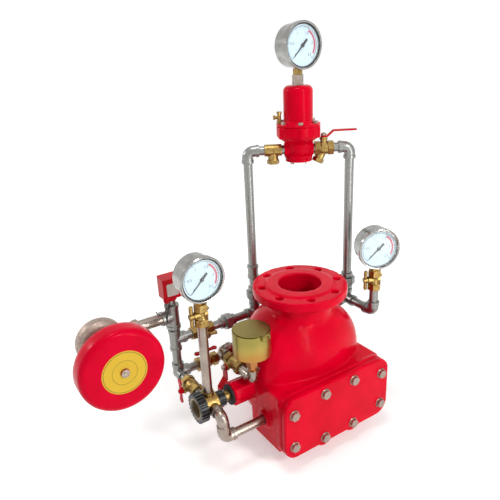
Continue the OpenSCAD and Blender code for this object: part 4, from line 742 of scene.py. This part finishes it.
def makeChamberCap(cfg):
    low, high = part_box("drip_ring")
    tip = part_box("drip_chamber")[0].x
    shape = bmesh.new()
    profile = []
    for ring in range(cfg["rings"] + 1):
        out = cfg["reach"] * ring / cfg["rings"]
        sag = cfg["domeRadius"] - math.sqrt(cfg["domeRadius"] ** 2 - out ** 2)
        profile.append(shape.verts.new(((sag - cfg["lift"]) * mm, out * mm, 0)))
    profile.append(shape.verts.new((profile[-1].co.x + 2 * cfg["lift"] * mm, profile[-1].co.y, 0)))
    lines = [shape.edges.new(pair) for pair in zip(profile, profile[1:])]
    bmesh.ops.spin(
        shape, geom=profile + lines, cent=(0, 0, 0), axis=(1, 0, 0),
        angle=2 * math.pi, steps=cfg["steps"], use_merge=True, use_duplicate=False,
    )
    bmesh.ops.remove_doubles(shape, verts=shape.verts, dist=spinWeld * mm)
    place = Matrix.Translation((tip, (low.y + high.y) / 2, (low.z + high.z) / 2))
    mesh = finishMesh(shape, "chamberCap", place)
    mesh.shade_smooth()
    keepPiece("chamberCap", mesh, darkBronze, "valve")


makeChamberCap(chamberCap)

# deep-ribbed hand rings of the drip line: hole and depth of the grooves in millimetres, and number of ribs
ribbedRings = {
    "chamberRing": ("drip_ring", 23.6, 4.0, 22),
    "nippleRing": ("drip_nut", 12.1, 2.2, 16),
}
# one rib and groove round the ring, as (share of the pitch, share of the groove's depth)
ribOutline = [(0.0, 1), (0.08, 0.3), (0.16, 0), (0.56, 0), (0.64, 0.3), (0.72, 1)]
# the lips at both ends of the ribs: angle in radians that tells them, least radius as a share of the hole's,
# and bevel in millimetres
ribLips = {"sharp": 1.2, "clear": 1.1, "bevel": 0.5, "steps": 2}


def makeRibbedRing(name, node, hole, groove, ribs):
    low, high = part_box(node)
    outer = (high.z - low.z) / 2
    shape = bmesh.new()
    loops = []
    for x, crown in ((low.x, 0), (high.x, 0), (high.x, 1), (low.x, 1)):
        loop = []
        for rib in range(ribs):
            for share, depth in ribOutline:
                angle = 2 * math.pi * (rib + share) / ribs
                radius = outer - groove * depth * mm if crown else hole * mm
                loop.append(shape.verts.new((x, radius * math.cos(angle), radius * math.sin(angle))))
        loops.append(loop)
    for near, far in zip(loops, loops[1:] + loops[:1]):
        for step in range(len(near)):
            shape.faces.new((near[step - 1], near[step], far[step], far[step - 1]))
    sharp = [edge for edge in shape.edges if edge.calc_face_angle(0) > ribLips["sharp"]]
    lips = [edge for edge in sharp if edge.verts[0].co.yz.length > hole * ribLips["clear"] * mm]
    bmesh.ops.bevel(
        shape, geom=lips, offset=ribLips["bevel"] * mm, affect="EDGES", segments=ribLips["steps"],
        profile=0.5, material=-1,
    )
    place = Matrix.Translation((0, (low.y + high.y) / 2, (low.z + high.z) / 2))
    mesh = finishMesh(shape, name, place)
    ring = keepPiece(name, mesh, finishes["black_plastic"], "valve")
    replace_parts(ring, node)


for ringName, ringSettings in ribbedRings.items():
    makeRibbedRing(ringName, *ringSettings)

# plain washers under the bolts of the hand cover, in millimetres
coverWashers = {
    "inner": (42.8, 59.2),
    "outer": (130.2, 41.8),
    "middle": 112,
    "radius": 12.5,
    "chamfer": 0.6,
    "thick": 2,
    "steps": 40,
}


def makeWashers(cfg):
    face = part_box("hand_cover")[0].y
    shape = bmesh.new()
    for across, up in (cfg["inner"], cfg["outer"]):
        for x, z in ((x, z) for x in (-across, across) for z in (-up, up)):
            spot = Matrix.Translation((x * mm, face - cfg["thick"] / 2 * mm, (cfg["middle"] + z) * mm))
            bmesh.ops.create_cone(
                shape, cap_ends=True, segments=cfg["steps"], radius1=cfg["radius"] * mm,
                radius2=(cfg["radius"] - cfg["chamfer"]) * mm, depth=cfg["thick"] * mm,
                matrix=spot @ Matrix.Rotation(math.radians(90), 4, "X"),
            )
    mesh = finishMesh(shape, "coverWashers")
    keepPiece("coverWashers", mesh, finishes["plain_steel"], "valve")


makeWashers(coverWashers)

# the priming lever's strip flares below its eye, less on the side of the drip boss: start and end of the
# flare under the joint in millimetres, and the growth of the front and back halves of its width
primingFlare = {
    "joint": "priming_valve_turn",
    "node": "priming_lever",
    "span": (14, 32),
    "front": 0.15,
    "back": 0.6,
}


def makeFlaredLever(cfg):
    stem = jointPlace[cfg["joint"]]
    start, end = (reach * mm for reach in cfg["span"])
    shape = bmesh.new()
    shape.from_mesh(nodes[cfg["node"]].data)
    for vert in shape.verts:
        share = min(max((stem.z - vert.co.z - start) / (end - start), 0), 1)
        side = vert.co.y - stem.y
        vert.co.y = stem.y + side * (1 + share * cfg["back" if side > 0 else "front"])
    mesh = finishMesh(shape, "primingPaddle")
    lever = keepPiece("primingPaddle", mesh, finishes["handle_enamel"], cfg["node"])
    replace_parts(lever, cfg["node"])


makeFlaredLever(primingFlare)

# steel nuts on the two lever stems: joint, body, way out, start from the joint and sizes in millimetres
leverNuts = {
    "primingNut": ("priming_valve_turn", "priming_lever", (-1, 0, 0), 1.8, 12, 6.4),
    "acceleratorNut": ("accelerator_valve_turn", "acc_lever", (0, 0, 1), 2.4, 11, 5.2),
}
# the nuts' chamfer in millimetres, and the stem's end that stands out of them, with its radii as the width
# across flats over these numbers
nutShape = {"chamfer": 0.6, "chamferSteps": 2, "stemParts": (4, 4.6), "stemTall": 2, "stemSteps": 24}


def makeNut(name, joint, body, wayOut, start, across, tall):
    shape = bmesh.new()
    radius = across / math.sqrt(3) * mm
    bmesh.ops.create_cone(
        shape, cap_ends=True, segments=6, radius1=radius, radius2=radius,
        depth=tall * mm, matrix=Matrix.Translation((0, 0, tall / 2 * mm)),
    )
    rims = [edge for edge in shape.edges if abs(edge.verts[0].co.z - edge.verts[1].co.z) < tall / 2 * mm]
    bmesh.ops.bevel(
        shape, geom=rims, offset=nutShape["chamfer"] * mm, affect="EDGES", segments=nutShape["chamferSteps"],
        profile=0.5, material=-1,
    )
    foot, tip = nutShape["stemParts"]
    stemMiddle = tall + nutShape["stemTall"] / 2
    bmesh.ops.create_cone(
        shape, cap_ends=True, segments=nutShape["stemSteps"], radius1=across / foot * mm,
        radius2=across / tip * mm, depth=nutShape["stemTall"] * mm,
        matrix=Matrix.Translation((0, 0, stemMiddle * mm)),
    )
    turn = Vector(wayOut).to_track_quat("Z", "Y").to_matrix().to_4x4()
    place = Matrix.Translation(jointPlace[joint] + Vector(wayOut) * start * mm) @ turn
    keepPiece(name, finishMesh(shape, name, place), finishes["plain_steel"], body)


for nutName, nutSettings in leverNuts.items():
    makeNut(nutName, *nutSettings)
print("cap and nuts on")

# pale studio: a floor, a key and a strip from the front, a rim light from behind on the left, a top light;
# the sky's level as matt faces see it, and the floor's own glow far off and near
studio = {
    "floorSize": 14,
    "floorColour": "#F4F4F2",
    "floorRough": 0.9,
    "lamps": [
        ("keyLight", (0.35, -2.7, 2.2), (0.4, 0.4), 33),
        ("stripLight", (0.25, -1.35, 0.5), (0.08, 0.9), 5),
        ("rimLight", (-1.9, 1.9, 1.7), (0.45, 0.45), 18),
        ("topLight", (-0.4, -0.2, 3.0), (0.7, 0.7), 20),
    ],
    "aim": (-0.1, 0, 0.4),
    "skyLevel": 0.35,
    "floorGlow": (0.66, 0.3),
    "glowReach": 1.6,
}


# 1 for a ray that the camera sees straight on, in gloss or through glass, 0 once a matt face has spread it
def seenRays(tree):
    rays = addNode(tree, "ShaderNodeLightPath")
    direct = addNode(
        tree, "ShaderNodeMath", {"operation": "MAXIMUM"},
        _0=(rays, "Is Camera Ray"), _1=(rays, "Is Glossy Ray"),
    )
    clear = addNode(
        tree, "ShaderNodeMath", {"operation": "MAXIMUM"},
        _0=(direct, "Value"), _1=(rays, "Is Transmission Ray"),
    )
    return addNode(
        tree, "ShaderNodeMath", {"operation": "SUBTRACT", "use_clamp": True},
        _0=(clear, "Value"), _1=(rays, "Diffuse Depth"),
    )


def buildStudio(cfg):
    scene = bpy.context.scene
    scene.view_settings.view_transform = "Standard"
    world = bpy.data.worlds.new("paleStudio")
    scene.world = world
    world.use_nodes = True
    tree = world.node_tree
    level = addNode(
        tree, "ShaderNodeMapRange", Value=(seenRays(tree), "Value"), To_Min=cfg["skyLevel"], To_Max=1.0
    )
    sky = tree.nodes["Background"]
    sky.inputs["Color"].default_value = (1, 1, 1, 1)
    tree.links.new(level.outputs["Result"], sky.inputs["Strength"])
    for name, place, size, power in cfg["lamps"]:
        data = bpy.data.lights.new(name, "AREA")
        data.shape = "RECTANGLE"
        data.size, data.size_y = size
        data.energy = power
        lamp = bpy.data.objects.new(name, data)
        scene.collection.objects.link(lamp)
        lamp.location = place
        lamp.rotation_euler = (Vector(cfg["aim"]) - Vector(place)).to_track_quat("-Z", "Y").to_euler()
    sheet = bmesh.new()
    bmesh.ops.create_grid(sheet, x_segments=1, y_segments=1, size=cfg["floorSize"] / 2)
    mesh = bpy.data.meshes.new("paleFloor")
    sheet.to_mesh(mesh)
    sheet.free()
    floor = bpy.data.objects.new("paleFloor", mesh)
    scene.collection.objects.link(floor)
    material, floorTree, shader, where = newMaterial("paleFloorPaint")
    shader.inputs["Base Color"].default_value = linear(cfg["floorColour"])
    shader.inputs["Roughness"].default_value = cfg["floorRough"]
    far, near = cfg["floorGlow"]
    apart = addNode(floorTree, "ShaderNodeVectorMath", {"operation": "LENGTH"}, _0=where)
    glow = addNode(
        floorTree, "ShaderNodeMapRange", Value=(apart, "Value"), From_Max=cfg["glowReach"],
        To_Min=near, To_Max=far,
    )
    seenGlow = addNode(
        floorTree, "ShaderNodeMath", {"operation": "MULTIPLY"},
        _0=(glow, "Result"), _1=(seenRays(floorTree), "Value"),
    )
    shader.inputs["Emission Color"].default_value = (1, 1, 1, 1)
    link(floorTree, (seenGlow, "Value"), shader, "Emission Strength")
    mesh.materials.append(material)


buildStudio(studio)
print("studio lit")
